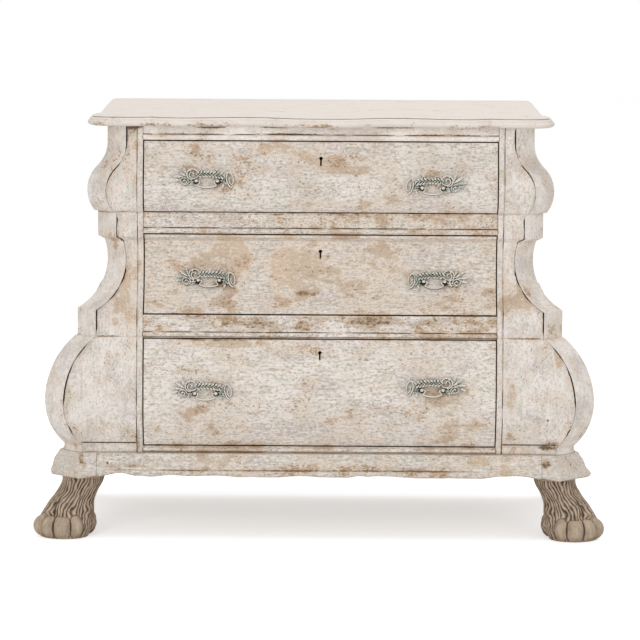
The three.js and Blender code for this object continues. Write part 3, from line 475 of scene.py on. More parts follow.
def corner_block(name):
    low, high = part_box("right_plinth_block")
    seam, back, foot, tall = low.x / MM, high.y / MM, low.z / MM, (high.z - low.z) / MM
    face, corner, high_lip = WAIST + PLINTH_FACE, PLINTH_HALF - PLINTH_CANT, 0.4 * tall

    def rubbed(x, y, z):
        """The lower lip is worn away towards the seam, and all but the seam and the sole is uneven"""
        if y < face + 5:
            z += 6 * max(0, 1 - (x - seam) / (corner - seam)) * max(0, 1 - (z - foot) / high_lip)
        if x >= seam + 2 and z >= foot + 0.5:
            x, y = (x - 1.6 * (noise.noise((x / 17, y / 21, z / 9)) + 1),
                    y + 0.8 * (noise.noise((x / 13, z / 7, 3)) + 1))
        return x, y, z

    rings = []
    for out, up in [(0.62, 0.0)] + MOULDING[1:-1] + [(0.03, 0.97), (-0.03, 1.0)]:
        # The cap narrows towards the back, under the overhang of the belly
        outline = [(seam, face), (corner, face), (PLINTH_HALF - 3 * up, face + PLINTH_CANT),
                   (PLINTH_HALF - BLOCK_TAPER * up, back), (seam, back)]
        ring = rounded(offset_outline(outline, (1, 1, 1, 0, 0), out * PLINTH_FLARE), [1, 2.5, 5, 1, 1], 4)
        rings.append((foot + up * (high.z - low.z) / MM, ring))
    points, faces = stacked(rings)
    return piece_from(name, [rubbed(*point) for point in points], faces, block_paint)


def side_moulding(name):
    low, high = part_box("right_side_plinth")
    section = moulding_section(PLINTH_HALF - SIDE_INSET, 1, SIDE_TAPER)
    return run_between(name, section, low.y / MM, high.y / MM, 20, side_plinth_paint, axis="Y")


block_paint = chalk_paint("chalk_paint_on_corner_blocks", "X", wear=0.25, flecks=0.6, grime_and_shade=0.6,
                          white="#D8D1C8", stains_and_shade=BLOCK_STAINS)
side_plinth_paint = chalk_paint("chalk_paint_on_side_plinth", "Y", wear=0.4, flecks=0.6, grime_and_shade=0.7)
_, left_block = both_hands("corner_block", corner_block, "plinth_block")
for vertex in left_block.data.vertices:
    vertex.co.x += LEFT_RUB * max(0, LEFT_LIP - vertex.co.x)
both_hands("side_plinth_moulding", side_moulding, "side_plinth")

# CORNER POSTS AND SIDES: pine sawn and carved to one swelling profile: a belly, a waist, a collar and a
# shoulder. The canted posts are glued over the edges of the stiles and the side planks, and stand proud.
WAIST_HALF = 428
CASE_LOW, CASE_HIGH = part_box("right_pilaster")[0].z / MM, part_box("right_pilaster")[1].z / MM
BOTTOM_LOW, BOTTOM_HIGH = 183.5, 404  # the openings of the three drawers
MIDDLE_LOW, MIDDLE_HIGH = 449.5, 611.5
TOP_LOW, TOP_HIGH = 653.5, 799.5
PROFILE_CREASE = 32
POST_WIDE, POST_DEEP, POST_PROUD = 39, 47, 9
PLANK_INSET, PLANK_THICK, PLANK_START = 20, 24, 38.3
# How far each turn of the profile stands out from the waist, at the sides and pressed flatter at the front
SIDE_REACH = {"base": 86, "belly": 123, "ledge": 63, "band": 58.5, "waist": 0, "throat": 6, "collar": 18.5,
              "lip": 25, "shoulder": 38, "swell": 18.25, "neck": -1.5}
FRONT_REACH = {"base": 29, "belly": 58, "ledge": 40, "band": 37, "waist": 0, "throat": 3, "collar": 18,
               "lip": 26, "shoulder": 47, "swell": 38.5, "neck": 30}
BELLY, CORNER, COLLAR = BOTTOM_LOW + 0.415 * (BOTTOM_HIGH - BOTTOM_LOW), MIDDLE_LOW + 9.5, MIDDLE_HIGH - 7.5
THROAT, LIP = COLLAR - 8.5, 1.5
SHOULDER, NECK = TOP_LOW + 0.31 * (TOP_HIGH - TOP_LOW), TOP_LOW + 0.95 * (TOP_HIGH - TOP_LOW)
TURNS = [  # the height where each stretch ends, the turn there, and which end of its bend stands upright
    (170, "base", None), (BOTTOM_LOW, "base", None), (BELLY, "belly", "top"), (BOTTOM_HIGH, "ledge", "foot"),
    (BOTTOM_HIGH + LIP, "band", None), (CORNER, "band", None),
    (CORNER + 0.725 * (THROAT - CORNER), "waist", "top"), (THROAT, "throat", "foot"),
    (COLLAR, "collar", None), (TOP_LOW, "collar", None), (TOP_LOW + LIP, "lip", None),
    (SHOULDER, "shoulder", "top"), ((SHOULDER + NECK) / 2, "swell", "foot"), (NECK, "neck", "top"),
    (CASE_HIGH, "neck", None)]
POST_WEAR = [
    (-424, 812, 44, 22, 0.16), (-416, 740, 30, 26, 0.04), (476, 440, 12, 60, 0.1), (-470, 180, 50, 20, 0.1)]
POST_STAINS = [
    (-400, 812, 30, 10, 0.12), (470, 186, 26, 16, 0.2), (-434, 653.5, 22, 2, 0.3), (-397, 597, 3, 3, 0.5),
    (-472, 178, 6, 10, 0.2)]


def reach(z, turns):
    """How far the profile stands out from the waist at a height"""
    z = clamp(z, TURNS[0][0], TURNS[-1][0])
    at = next(i for i in range(1, len(TURNS)) if z <= TURNS[i][0])
    (foot, foot_turn, _), (top, top_turn, upright) = TURNS[at - 1], TURNS[at]
    a, b, rise = turns[foot_turn], turns[top_turn], top - foot
    if upright is None or a == b:
        return a + (b - a) * (z - foot) / rise
    still, lean, far = (b, a - b, top - z) if upright == "top" else (a, b - a, z - foot)
    radius = (rise * rise + lean * lean) / (2 * abs(lean))
    return still + math.copysign(radius - math.sqrt(max(radius * radius - far * far, 0)), lean)


def facing(z, out=0.0):
    """A point of the front's profile at a height, standing out by a little"""
    return WAIST - reach(z, FRONT_REACH) - out, z


def profile_heights(low, high, pitch):
    """Heights for rings: every turn of the profile, and between the turns one each pitch"""
    marks = [low] + [z for z, _, _ in TURNS if low + 0.2 < z < high - 0.2] + [high]
    heights = []
    for foot, top in zip(marks, marks[1:]):
        steps = max(1, round((top - foot) / pitch))
        heights += [foot + (top - foot) * step / steps for step in range(steps)]
    return heights + [high]


def hewn(x, y, z):
    """The slight waviness of carved and much repainted wood"""
    return x - 0.5 * noise.noise((z / 60, y / 80, 3)), y - 0.5 * noise.noise((x / 70, z / 55, 9))


def corner_post(name):
    rings = []
    for z in profile_heights(CASE_LOW, CASE_HIGH, 4):
        outer = WAIST_HALF + reach(z, SIDE_REACH)
        face = facing(z)[0] - POST_PROUD
        inner, back = outer - POST_WIDE, face + POST_DEEP
        corners = [(inner, face + 0.2), (inner + 14, face + 10.5), (outer - 12.5, face + 24),
                   (outer - 0.2, face + 39), (outer, back), (inner, back)]
        ring = rounded(corners, [1.0, 16, 16, 8, 1.5, 1.5], 4)
        rings.append((z, [hewn(x, y, z) if y < face + 40 else (x, y) for x, y in ring]))
    return piece_from(name, *stacked(rings), post_paint_with_painted_light, PROFILE_CREASE)


def side_plank(name):
    rings = []
    for z in profile_heights(CASE_LOW, CASE_HIGH, 5):
        outer = WAIST_HALF + reach(z, SIDE_REACH) - PLANK_INSET
        inner, near, far = outer - PLANK_THICK, facing(z)[0] + PLANK_START, WAIST + CASE_DEPTH
        rings.append((z, rounded([(inner, near), (outer, near), (outer, far), (inner, far)], [1, 1, 2.5, 1])))
    return piece_from(name, *stacked(rings), side_paint, PROFILE_CREASE)


# The posts' paint is a little whiter than the stiles', which stands in for light on their swelling faces:
# painted light
post_paint_with_painted_light = chalk_paint("chalk_paint_on_corner_posts", "Z", wear=0.1, flecks=0.38, grime_and_shade=0.6,
                         white="#F1E9E2", places=POST_WEAR, stains_and_shade=POST_STAINS)
side_paint = chalk_paint("chalk_paint_on_sides", "Y", wear=0.35, flecks=0.5, grime_and_shade=0.6)
both_hands("corner_post", corner_post, "pilaster")
both_hands("side_plank", side_plank, "side")

# STILES: the shaped fronts beside the drawers, carved from the solid with a cock bead along the opening, a
# quirk beside it and a narrow fillet at the foot. They are tenoned between the plinth and the top.
OPENING_HALF = 354
BEAD, BEAD_PROUD = 11, 3
STILE_THICK, STILE_INSET, COVE_WIDE = 28, 39.3, 14
FILLET_TOP, FILLET_QUIRK = 189, 191
OPEN_JOINTS = [(778, 829), (712, 756), (590, 646), (404, 542), (268, 400), (200, 232)]  # foot and top
STILE_WEAR = [
    (-396, 524, 16, 40, 0.16), (-404, 512, 34, 60, 0.09), (410, 520, 30, 60, 0.1),
    (-376, 780, 20, 60, 0.14), (-400, 440, 40, 40, 0.06), (-372, 420, 16, 70, 0.14),
    (-372, 545, 16, 50, 0.08), (-385, 350, 12, 30, 0.06), (478, 380, 10, 34, 0.34),
    (384, 290, 12, 44, 0.26), (400, 470, 40, 12, 0.16), (420, 300, 60, 90, -0.04), (372, 500, 16, 60, 0.1)]
STILE_STAINS = [
    (-384, 815, 20, 14, 0.3), (-384, 760, 6, 40, 0.16), (-363, 200, 6, 34, 0.2), (466, 188, 24, 14, 0.3),
    (-425, 405.5, 28, 2.2, 0.36), (412, 405.5, 46, 2.2, 0.3), (-395, 655, 26, 1.6, 0.3),
    (-375, 825, 24, 4, 0.45), (-454, 184, 9, 6, 0.26), (452, 184, 16, 5, 0.24), (457, 243, 2.4, 2.4, 0.5),
    (-393, 534, 3, 20, 0.24)]


def stile(name):
    rings = []
    edges = [FILLET_TOP - 0.1, FILLET_TOP + 0.1, FILLET_QUIRK - 0.1, FILLET_QUIRK + 0.1]
    for z in sorted(profile_heights(CASE_LOW, CASE_HIGH, 4) + edges):
        outer = WAIST_HALF + reach(z, SIDE_REACH) - STILE_INSET
        face = facing(z)[0]
        fillet = 0 if z < FILLET_TOP else 4.3 if z < FILLET_QUIRK else 2.2
        middle = OPENING_HALF + BEAD / 2
        ring = [(middle + math.cos(math.pi * (1 + step / 8)) * BEAD / 2,
                 face + math.sin(math.pi * (1 + step / 8)) * BEAD_PROUD) for step in range(9)]
        quirk = OPENING_HALF + BEAD
        cut = 1.8 + 2.6 * clamp(3 * noise.noise((z / 40, 6.6, 1.3)) + 0.4)
        ring += [(quirk + 0.8, face + cut), (quirk + 1.8, face + 0.4 + fillet * 0.3),
                 (quirk + 4, face + fillet)]
        ring += [(quirk + 4 + (outer - COVE_WIDE - quirk - 4) * share, face + fillet) for share in (0.5, 1)]
        # A cove rises to the corner post. The joint between them has opened here and there
        open_ = max(min(1, (top - z) / 9, (z - foot) / 9) for foot, top in OPEN_JOINTS)
        open_ = min(max(open_, 0) * (0.8 + 1.2 * noise.noise((z / 13, 3.1, 0.4))), 1)
        lift = 8.2 - 3.4 * open_
        ring += [(outer - COVE_WIDE * (1 - share), face + fillet - (lift + fillet) * share ** 2.2)
                 for share in (0.3, 0.5, 0.7, 0.85)]
        ring += [(outer - 0.2 - 2.4 * open_, face - lift + 0.4), (outer - 0.1 - 1.6 * open_, face - lift + 2),
                 (outer - 0.1, face - lift + 5.5), (outer - 0.1, face + STILE_THICK),
                 (OPENING_HALF, face + STILE_THICK)]
        rings.append((z, ring))
    points, faces = stacked(rings)
    points = [(x, y + 0.5 * (noise.noise((x / 45, z / 60, 2)) + 1), z) if y < WAIST else (x, y, z)
              for x, y, z in points]
    return piece_from(name, points, faces, stile_paint, PROFILE_CREASE)


stile_paint = chalk_paint("chalk_paint_on_stiles", "Z", wear=0.18, flecks=0.55, grime_and_shade=0.75,
                          places=STILE_WEAR, stains_and_shade=STILE_STAINS)
both_hands("carved_stile", stile, "stile")

# RAILS: pine rails between the drawers, tenoned into the stiles. Each has a planed cock bead at its lower
# edge, a quirk and a sunk field above it. The tops of three are mortised for the bolts of the locks.
RAIL_HALF = 353.7
BEAD_HIGH, BEAD_MARGIN, QUIRK, QUIRK_DEEP, SINK = 8, 2, 2, 5.5, 2
MORTISE_HALF, MORTISE_DEEP, MORTISE_EASE = 12.8, 11.6, 0.8
RAIL_STAINS = [
    (0, 430, 330, 14, 0.2), (200, 438, 160, 8, 0.14), (-60, 640, 280, 12, 0.1), (-260, 446, 80, 5, 0.18),
    (60, 446, 200, 3.5, 0.14), (0, 408, 340, 3, 0.1), (0, 651, 340, 2.5, 0.14)]
FRIEZE_WEAR = [(-320, 808, 50, 6, 0.2), (220, 810, 60, 6, 0.16)]
# The thin dark dashes along 826 mm, just under the top, are dirt and painted shadow of the top; those along
# 812 mm darken the quirk
FRIEZE_STAINS_AND_SHADE = [
    (-300, 812, 40, 3, 0.2), (-220, 826, 34, 3.5, 0.55), (300, 822, 70, 5, 0.14), (-75, 826, 70, 2.5, 0.4),
    (-75, 812, 80, 2, 0.35), (150, 826, 60, 2, 0.35), (250, 812, 60, 2, 0.3)]


def rail_section(low, high, strip, back):
    """A bead at the foot, a quirk, a sunk field, and at the top a strip left standing where there is one"""
    middle = low + BEAD_MARGIN + BEAD_HIGH / 2
    section = [facing(low)]
    for step in range(11):
        angle = math.pi * step / 10
        section.append(facing(middle - math.cos(angle) * BEAD_HIGH / 2, math.sin(angle) * BEAD_PROUD))
    field, top = middle + BEAD_HIGH / 2 + QUIRK, high - strip
    if top > field + QUIRK:
        section += [facing(field - QUIRK / 2, -QUIRK_DEEP), facing(field, -SINK)]
        section += [facing(field + (top - field) * share / 6, -SINK) for share in range(1, 6)]
        section.append(facing(top - 0.4, -SINK))
    if strip:
        section.append(facing(top + QUIRK / 2, -0.4))
    section += [facing(high - 1, 0 if strip else -SINK), facing(high, -1 if strip else -SINK - 0.6)]
    return section + [(WAIST + back, high), (WAIST + back, low)]


def take_out(piece, tool):
    """Cuts a solid out of a piece"""
    cut = piece.modifiers.new("cut", "BOOLEAN")
    cut.object, cut.operation, cut.solver = tool, "DIFFERENCE", "EXACT"
    baked(piece)
    bpy.data.objects.remove(tool)


def gouged(x, y, z):
    """The chewed upper fields of old rails, and quirks that paint has filled here and there"""
    deep = y - facing(z)[0]
    if SINK + 1 < deep <= QUIRK_DEEP + 0.1:
        y -= (deep - SINK) * clamp(4 * noise.noise((x / 34, z / 9, 5)) + 0.2)
    return x, y + 0.7 * max(0, noise.noise((x / 22, z / 5, 3))) if y < WAIST - 5 else y, z


rail_paint = chalk_paint("chalk_paint_on_rails", "X", wear=0.6, flecks=1.15, grime_and_shade=0.8, stains_and_shade=RAIL_STAINS)
# The frieze's paint is whiter and less worn than the rails', which lifts it against the shadow of the top:
# painted light
frieze_paint_with_painted_light = chalk_paint("chalk_paint_on_frieze", "X", wear=-0.1, flecks=0.4, grime_and_shade=0.5, white="#FAF4EE",
                           places=FRIEZE_WEAR, stains_and_shade=FRIEZE_STAINS_AND_SHADE, tints=0.6)
for node, low, high, strip, back, paint, drawer in (
        ("base_rail", CASE_LOW, BOTTOM_LOW, 0, 8, rail_paint, None),
        ("lower_rail", BOTTOM_HIGH, MIDDLE_LOW, 7, 60, rail_paint, "bottom"),
        ("upper_rail", MIDDLE_HIGH, TOP_LOW, 0, 60, rail_paint, "middle"),
        ("frieze_rail", TOP_HIGH, CASE_HIGH, 3, 60, frieze_paint_with_painted_light, "top")):
    rail = run_between(node + "_run", rail_section(low, high, strip, back), -RAIL_HALF, RAIL_HALF, 9, paint,
                       shift=gouged, crease=30)
    if drawer:  # its bolt rises into this rail
        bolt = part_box(drawer + "_lock_bolt")
        near, far = bolt[0].y / MM - MORTISE_EASE, bolt[1].y / MM + MORTISE_EASE
        mouth = [(-MORTISE_HALF, near), (MORTISE_HALF, near), (MORTISE_HALF, far), (-MORTISE_HALF, far)]
        hole = stacked([(low - 4, mouth), (low + MORTISE_DEEP, mouth)])
        take_out(rail, piece_from("mortise", *hole, paint))
    dress(rail, "case", node)

# CARCASS BOARDS: bottom, back and runners in plain pine that was never painted, sawn and roughly planed,
# grey-brown with age. The runners are nailed to the rails and the back, the back boards into rebates.
BACK_BOARD = 82
SQUARE = ((-1, -1), (1, -1), (1, 1), (-1, 1))
# Share of the rear foot's height, and half its width there
FOOT_TAPER = ((0, 20), (0.02, 21), (0.4, 24.2), (0.7, 26.8), (0.73, 27), (0.98, 27), (1, 26.4))


def aged_pine(name, grain, boards=0.0):
    """Unpainted softwood gone tan and grey, sawn and planed: long growth lines, and a fine fibre drawn a
    little coarser than it is. In a panel of several boards, boards is their width in millimetres, and their
    joints show as dark lines"""
    material, tree = new_material(name)
    spot = add(tree, "ShaderNodeTexCoord").outputs["Object"]
    fibre = add(tree, "ShaderNodeMapping", {"Vector": spot, "Scale": stretched(grain, 0.03)})
    figure = add(tree, "ShaderNodeMapping", {"Vector": spot, "Scale": stretched(grain, 0.12)})
    rings = add(tree, "ShaderNodeTexWave", {"Vector": figure, "Scale": 22, "Distortion": 7, "Detail": 3,
                                            "Detail Scale": 1.4}, bands_direction="DIAGONAL")
    fibres = add(tree, "ShaderNodeTexNoise", {"Vector": fibre, "Scale": 520, "Detail": 4, "Roughness": 0.65})
    cloud = add(tree, "ShaderNodeTexNoise", {"Vector": spot, "Scale": 9, "Detail": 4, "Roughness": 0.6})
    colour = veil(tree, linear("#BB9E7A"), "#A08B72", cloud, 0.35, 0.66)
    late = add(tree, "ShaderNodeMapRange", {0: rings, 1: 0.45, 2: 1.0, 3: 0.0, 4: 0.42})
    colour = add(tree, "ShaderNodeMix", {0: late, 6: colour, 7: linear("#8C6F50")}, data_type="RGBA")
    colour = veil(tree, colour.outputs[2], "#75604A", fibres, 0.5, 0.75, 0.45)
    height = add(tree, "ShaderNodeMath", {0: fibres, 1: 0.5, 2: late}, operation="MULTIPLY_ADD")
    if boards:
        across = add(tree, "ShaderNodeSeparateXYZ", {"Vector": spot}).outputs["X"]
        turn = add(tree, "ShaderNodeMath", {0: across, 1: boards * MM, 2: -1.0}, operation="PINGPONG")
        joint = add(tree, "ShaderNodeMapRange", {0: turn, 1: 1.6 * MM, 2: 0.4 * MM})
        colour = add(tree, "ShaderNodeMix", {0: joint, 6: colour, 7: linear("#3B2E22")},
                     data_type="RGBA").outputs[2]
        height = add(tree, "ShaderNodeMath", {0: joint, 1: -3.0, 2: height}, operation="MULTIPLY_ADD")
    return surfaced(material, colour, 0.8, height, 0.4, 0.6, {"Specular IOR Level": 0.3})


def give(material, *nodes):
    """CAD nodes that keep their shape get the material of the real surface"""
    for node in nodes:
        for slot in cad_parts[node].material_slots:
            slot.material = material


give(aged_pine("aged_pine_along_the_front", "X"), "bottom_board")
give(aged_pine("aged_pine_back_boards", "Z", BACK_BOARD), "back_panel")
give(aged_pine("aged_pine_front_to_back", "Y"),
     "right_lower_runner", "left_lower_runner", "right_upper_runner", "left_upper_runner")


def rear_foot(name):
    low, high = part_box("right_rear_foot")
    x, y = (low.x + high.x) / 2 / MM, (low.y + high.y) / 2 / MM
    rings = [(up * (high.z / MM), rounded([(x + right * half, y + back * half) for right, back in SQUARE], 3))
             for up, half in FOOT_TAPER]
    return piece_from(name, *stacked(rings), foot_pine, 30)


foot_pine = aged_pine("aged_pine_rear_feet", "Z")
both_hands("tapered_rear_foot", rear_foot, "rear_foot")

# TOP: one wide board, shaped to a serpentine with an ear at each front corner. The edge is worked with a
# fillet and an ovolo all along the front and the ends. It lies on the frieze and is pegged down.
TOP_HALF, TOP_NOSE, TOP_DEEP, TOP_LIP = WAIST_HALF - 1.5 + 25, -86, 36, 12.5
EAR_ROUND, EAR_LENGTH, EAR_SWEEP, EAR_STEP, TOP_BACK, BACK_ROUND = 40, 12, 90, 14, 485, 14
LIP_FADE = (30, 4)  # how far before the back edge the moulding starts to die out, and is gone
HEART_HALF, HEART_PLACE = 0.55 * (TOP_HALF - EAR_STEP) * MM, 20 * MM  # the line in which the rows meet
# The serpentine: its curves' pulling and end points, as shares of the half width and of the depth
FRONT_EDGE = [[(0.1, 0), (0.175, 0.4)], [(0.235, 1), (0.328, 1)], [(0.42, 1), (0.52, 0.28), (0.623, 0.28)],
              [(0.705, 0.28), (0.741, 0.94)], [(0.765, 0.56), (0.905, 0.56)]]
# From the middle of the underside over the moulding to the middle of the top: how far along that way, how
# far out as a share of the lip, or None for the middle, and how high as a share of the thickness. It is an
# ovolo, a small upright fillet, a slope, and a quirk under the surface, where the edge was glued on
TOP_EDGE = [
    (0.0, None, 0.0), (0.1, 0.0, 0.0), (0.2, 0.3, 0.0), (0.26, 0.5, 0.03), (0.32, 0.72, 0.08),
    (0.38, 0.9, 0.16), (0.44, 0.99, 0.26), (0.5, 1.0, 0.36), (0.56, 0.95, 0.46), (0.62, 0.86, 0.54),
    (0.66, 0.78, 0.58), (0.68, 0.7, 0.59), (0.7, 0.66, 0.62), (0.74, 0.62, 0.78), (0.78, 0.5, 0.84),
    (0.82, 0.36, 0.895), (0.84, 0.1, 0.9), (0.86, 0.07, 0.915), (0.88, 0.1, 0.945), (0.9, 0.24, 0.952),
    (0.92, 0.22, 0.985), (0.94, 0.1, 1.0), (1.0, None, 1.0)]
TOP_ROWS, TOP_COLUMNS = 51, 700
# The thin dark lines along 831 to 833 mm lie on the underside of the moulded edge: dirt and painted shade
TOP_STAINS_AND_SHADE = [
    (0, 833, 3000, 5, 0.06), (-240, 832, 40, 4, 0.16), (-330, 832, 30, 4, 0.12), (-20, 832, 60, 4, 0.12),
    (310, 831, 60, 4, 0.14)]


def pulled(points, steps):
    """Points of a curve from the first point to the last, pulled by those between, without its first"""
    out = []
    for step in range(1, steps + 1):
        share, row = step / steps, [Vector(p) for p in points]
        while len(row) > 1:
            row = [a.lerp(b, share) for a, b in zip(row, row[1:])]
        out.append(tuple(row[0]))
    return out


def top_outline():
    """The right half of the board's plan, from the middle of the front to the middle of the back"""
    line = [(0, TOP_NOSE)]
    for curve in FRONT_EDGE:
        places = [(across * TOP_HALF, TOP_NOSE + deep * TOP_DEEP) for across, deep in curve]
        line += pulled([line[-1]] + places, 12)
    ear = line[-1][1]
    line += pulled([line[-1], (TOP_HALF, ear), (TOP_HALF, ear + EAR_ROUND)], 14)
    end, narrow = ear + EAR_ROUND + EAR_LENGTH, TOP_HALF - EAR_STEP
    line += [(TOP_HALF, line[-1][1] + EAR_LENGTH * step / 8) for step in range(1, 9)]
    line += pulled([line[-1], (TOP_HALF, end + EAR_SWEEP / 2), (narrow, end + EAR_SWEEP / 2),
                    (narrow, end + EAR_SWEEP)], 10)
    flank, rear = end + EAR_SWEEP, TOP_BACK - BACK_ROUND
    line += [(narrow, flank + (rear - flank) * step / 6) for step in range(1, 7)]
    line += pulled([line[-1], (narrow, TOP_BACK), (narrow - BACK_ROUND, TOP_BACK)], 6)
    return line + [((narrow - BACK_ROUND) * (1 - step / 12), TOP_BACK) for step in range(1, 13)]


def growing_tree(name, inputs):
    """A Geometry Nodes tree with its named inputs, and the sockets that give them"""
    tree = bpy.data.node_groups.new(name, "GeometryNodeTree")
    for label, kind in inputs:
        tree.interface.new_socket(label, in_out="INPUT", socket_type="NodeSocket" + kind)
    tree.interface.new_socket("Grown", in_out="OUTPUT", socket_type="NodeSocketGeometry")
    return tree, add(tree, "NodeGroupInput").outputs


def grown(tree, geometry, finish):
    """Ends a tree: its instances are made real and take the material"""
    real = add(tree, "GeometryNodeRealizeInstances", {"Geometry": geometry})
    done = add(tree, "GeometryNodeSetMaterial", {"Geometry": real, "Material": finish})
    add(tree, "NodeGroupOutput", {0: done})
    return tree


def moulded_top_tree():
    """Geometry Nodes: a grid wrapped round the outline. Across it runs from the middle of the underside, out
    over the moulding, to the middle of the top"""
    tree, given = growing_tree("moulded_top", [
        ("Outline", "Geometry"), ("Lip", "Float"), ("Thickness", "Float"), ("Underside", "Float"),
        ("Back", "Float"), ("Ear", "Float"), ("Wear", "Float"), ("Around", "Int"), ("Finish", "Material")])
    grid = add(tree, "GeometryNodeMeshGrid", {"Size X": 1.0, "Size Y": 1.0, "Vertices X": given["Around"],
                                              "Vertices Y": TOP_ROWS})
    uv = add(tree, "ShaderNodeSeparateXYZ", {"Vector": grid.outputs["UV Map"]})
    line = add(tree, "GeometryNodeMeshToCurve", {"Mesh": given["Outline"]})
    sample = add(tree, "GeometryNodeSampleCurve", {"Curves": line, "Factor": uv.outputs["X"]}, mode="FACTOR",
                 use_all_curves=False)
    away = add(tree, "ShaderNodeVectorMath", {0: sample.outputs["Tangent"], 1: (0, 0, 1)},
               operation="CROSS_PRODUCT")
    away = add(tree, "ShaderNodeVectorMath", {0: away}, operation="NORMALIZE")
    here = add(tree, "ShaderNodeSeparateXYZ", {"Vector": sample.outputs["Position"]})
    # The moulding dies out at the back corners
    front = add(tree, "ShaderNodeMapRange", {0: here.outputs["Y"], 1: given["Back"], 2: given["Ear"]})
    out = add(tree, "ShaderNodeFloatCurve", {"Value": uv.outputs["Y"]})
    up = add(tree, "ShaderNodeFloatCurve", {"Value": uv.outputs["Y"]})
    inside = add(tree, "ShaderNodeFloatCurve", {"Value": uv.outputs["Y"]})
    for node, pick in ((out, lambda row: row[1] or 0), (up, lambda row: row[2]),
                       (inside, lambda row: 1.0 if row[1] is None else 0.0)):
        curve = node.mapping.curves[0]
        for row in TOP_EDGE[1:-1]:
            curve.points.new(row[0], pick(row))
        curve.points[0].location = (0.0, pick(TOP_EDGE[0]))
        curve.points[-1].location = (1.0, pick(TOP_EDGE[-1]))
        for point in curve.points:
            point.handle_type = "VECTOR"
        node.mapping.update()
    lip = add(tree, "ShaderNodeMath", {0: out, 1: given["Lip"]}, operation="MULTIPLY")
    lip = add(tree, "ShaderNodeMath", {0: lip, 1: front}, operation="MULTIPLY")
    dents = add(tree, "ShaderNodeTexNoise", {"Vector": sample.outputs["Position"], "Scale": 26, "Detail": 2})
    dent = add(tree, "ShaderNodeMapRange", {0: dents, 1: 0.5, 2: 0.75, 3: 1.0, 4: 0.86})
    lip = add(tree, "ShaderNodeMath", {0: lip, 1: dent}, operation="MULTIPLY")
    shift = add(tree, "ShaderNodeVectorMath", {0: away, "Scale": lip}, operation="SCALE")
    rim = add(tree, "ShaderNodeVectorMath", {0: sample.outputs["Position"], 1: shift}, operation="ADD")
    # The inner end of each row lies on a line inside the board. The ears' rows share its two ends, so that
    # none folds over another
    narrow = (TOP_HALF - EAR_STEP) * MM
    middle = add(tree, "ShaderNodeMapRange", {0: here.outputs["X"], 1: -narrow, 2: narrow, 3: -HEART_HALF,
                                              4: HEART_HALF})
    heart = add(tree, "ShaderNodeCombineXYZ", {"X": middle, "Y": HEART_PLACE, "Z": 0.0})
    plan = add(tree, "ShaderNodeMix", {0: inside, 4: rim, 5: heart}, data_type="VECTOR")
    rise = add(tree, "ShaderNodeMath", {0: up, 1: given["Thickness"], 2: given["Underside"]},
               operation="MULTIPLY_ADD")
    sag = add(tree, "ShaderNodeMath", {0: dents, 1: given["Wear"]}, operation="MULTIPLY")
    edge = add(tree, "ShaderNodeMath", {0: out, 1: up}, operation="MULTIPLY")
    sag = add(tree, "ShaderNodeMath", {0: sag, 1: edge}, operation="MULTIPLY")
    rise = add(tree, "ShaderNodeMath", {0: rise, 1: sag}, operation="SUBTRACT")
    flat = add(tree, "ShaderNodeSeparateXYZ", {"Vector": plan.outputs[1]})
    place = add(tree, "ShaderNodeCombineXYZ", {"X": flat.outputs["X"], "Y": flat.outputs["Y"], "Z": rise})
    wrapped = add(tree, "GeometryNodeSetPosition", {"Geometry": grid, "Position": place})
    closed = add(tree, "GeometryNodeMergeByDistance", {"Geometry": wrapped, "Distance": 0.02 * MM})
    return grown(tree, closed, given["Finish"])


def line_piece(name, points, edges):
    """Points in millimetres and the lines between them, for a tree to grow on"""
    mesh = bpy.data.meshes.new(name)
    mesh.from_pydata([tuple(c * MM for c in p) for p in points], edges, [])
    return linked(name, mesh)


def grow(piece, tree, **values):
    """Runs a Geometry Nodes tree on a piece with its named inputs, and makes the result real"""
    maker = piece.modifiers.new(tree.name, "NODES")
    maker.node_group = tree
    for item in tree.interface.items_tree:
        if item.in_out == "INPUT" and item.name in values:
            maker[item.identifier] = values[item.name]
    return baked(piece)


top_paint = chalk_paint("chalk_paint_on_top", "X", wear=-0.6, flecks=0.1, grime_and_shade=0.6, white="#E6DDD5",
                        places=[(0, 836, 3000, 9, 0.12)], stains_and_shade=TOP_STAINS_AND_SHADE, tints=0.14)
half = top_outline()
outline = [(x, y + WAIST, 0) for x, y in half + [(-x, y) for x, y in reversed(half[1:-1])]]
top = line_piece("moulded_top", outline, [(i, (i + 1) % len(outline)) for i in range(len(outline))])
low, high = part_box("top_board")
grow(top, moulded_top_tree(), Lip=TOP_LIP * MM, Thickness=high.z - low.z, Underside=low.z,
     Ear=high.y - LIP_FADE[0] * MM, Back=high.y - LIP_FADE[1] * MM, Wear=1.2 * MM, Around=TOP_COLUMNS,
     Finish=top_paint)
top.data.shade_smooth()
top.data.set_sharp_from_angle(angle=math.radians(38))
dress(top, "case", "top_board")

# DRAWERS: each front is carved from one thick pine board to the swell of the case and painted with it. The
# sides, back and bottom are thin bare pine, nailed together and run in grooves. Wear follows the hands.
DRAWERS = ("bottom", "middle", "top")
GROOVE_DEEP, GROOVE_EASE = 6, 0.3
KEYHOLE_HEAD, KEYHOLE_SLOT, KEYHOLE_HEIGHT = 3.7, 3.2, 18
KEYHOLE_DROP = {"bottom": 31.5, "middle": 40, "top": 39}
FRONT_WEAR = {
    "top": [
        (-62, 778, 64, 16, 0.17), (12, 752, 34, 22, 0.2), (64, 742, 52, 10, 0.13),
        (-205, 716, 62, 26, 0.05), (60, 674, 130, 9, 0.08), (225, 700, 60, 18, 0.06),
        (-290, 690, 60, 30, -0.05), (20, 706, 130, 18, -0.08)],
    "middle": [
        (-184, 566, 40, 40, 0.30), (-68, 548, 66, 62, 0.17), (-112, 560, 16, 60, -0.10),
        (-20, 500, 34, 12, 0.10), (90, 540, 90, 40, 0.06), (250, 560, 80, 34, -0.06)],
    "bottom": [
        (-220, 394, 130, 9, 0.16), (45, 310, 46, 24, 0.13), (285, 235, 46, 50, 0.10),
        (0, 385, 90, 14, 0.08), (-90, 230, 120, 40, -0.05), (150, 205, 90, 16, 0.08)]}
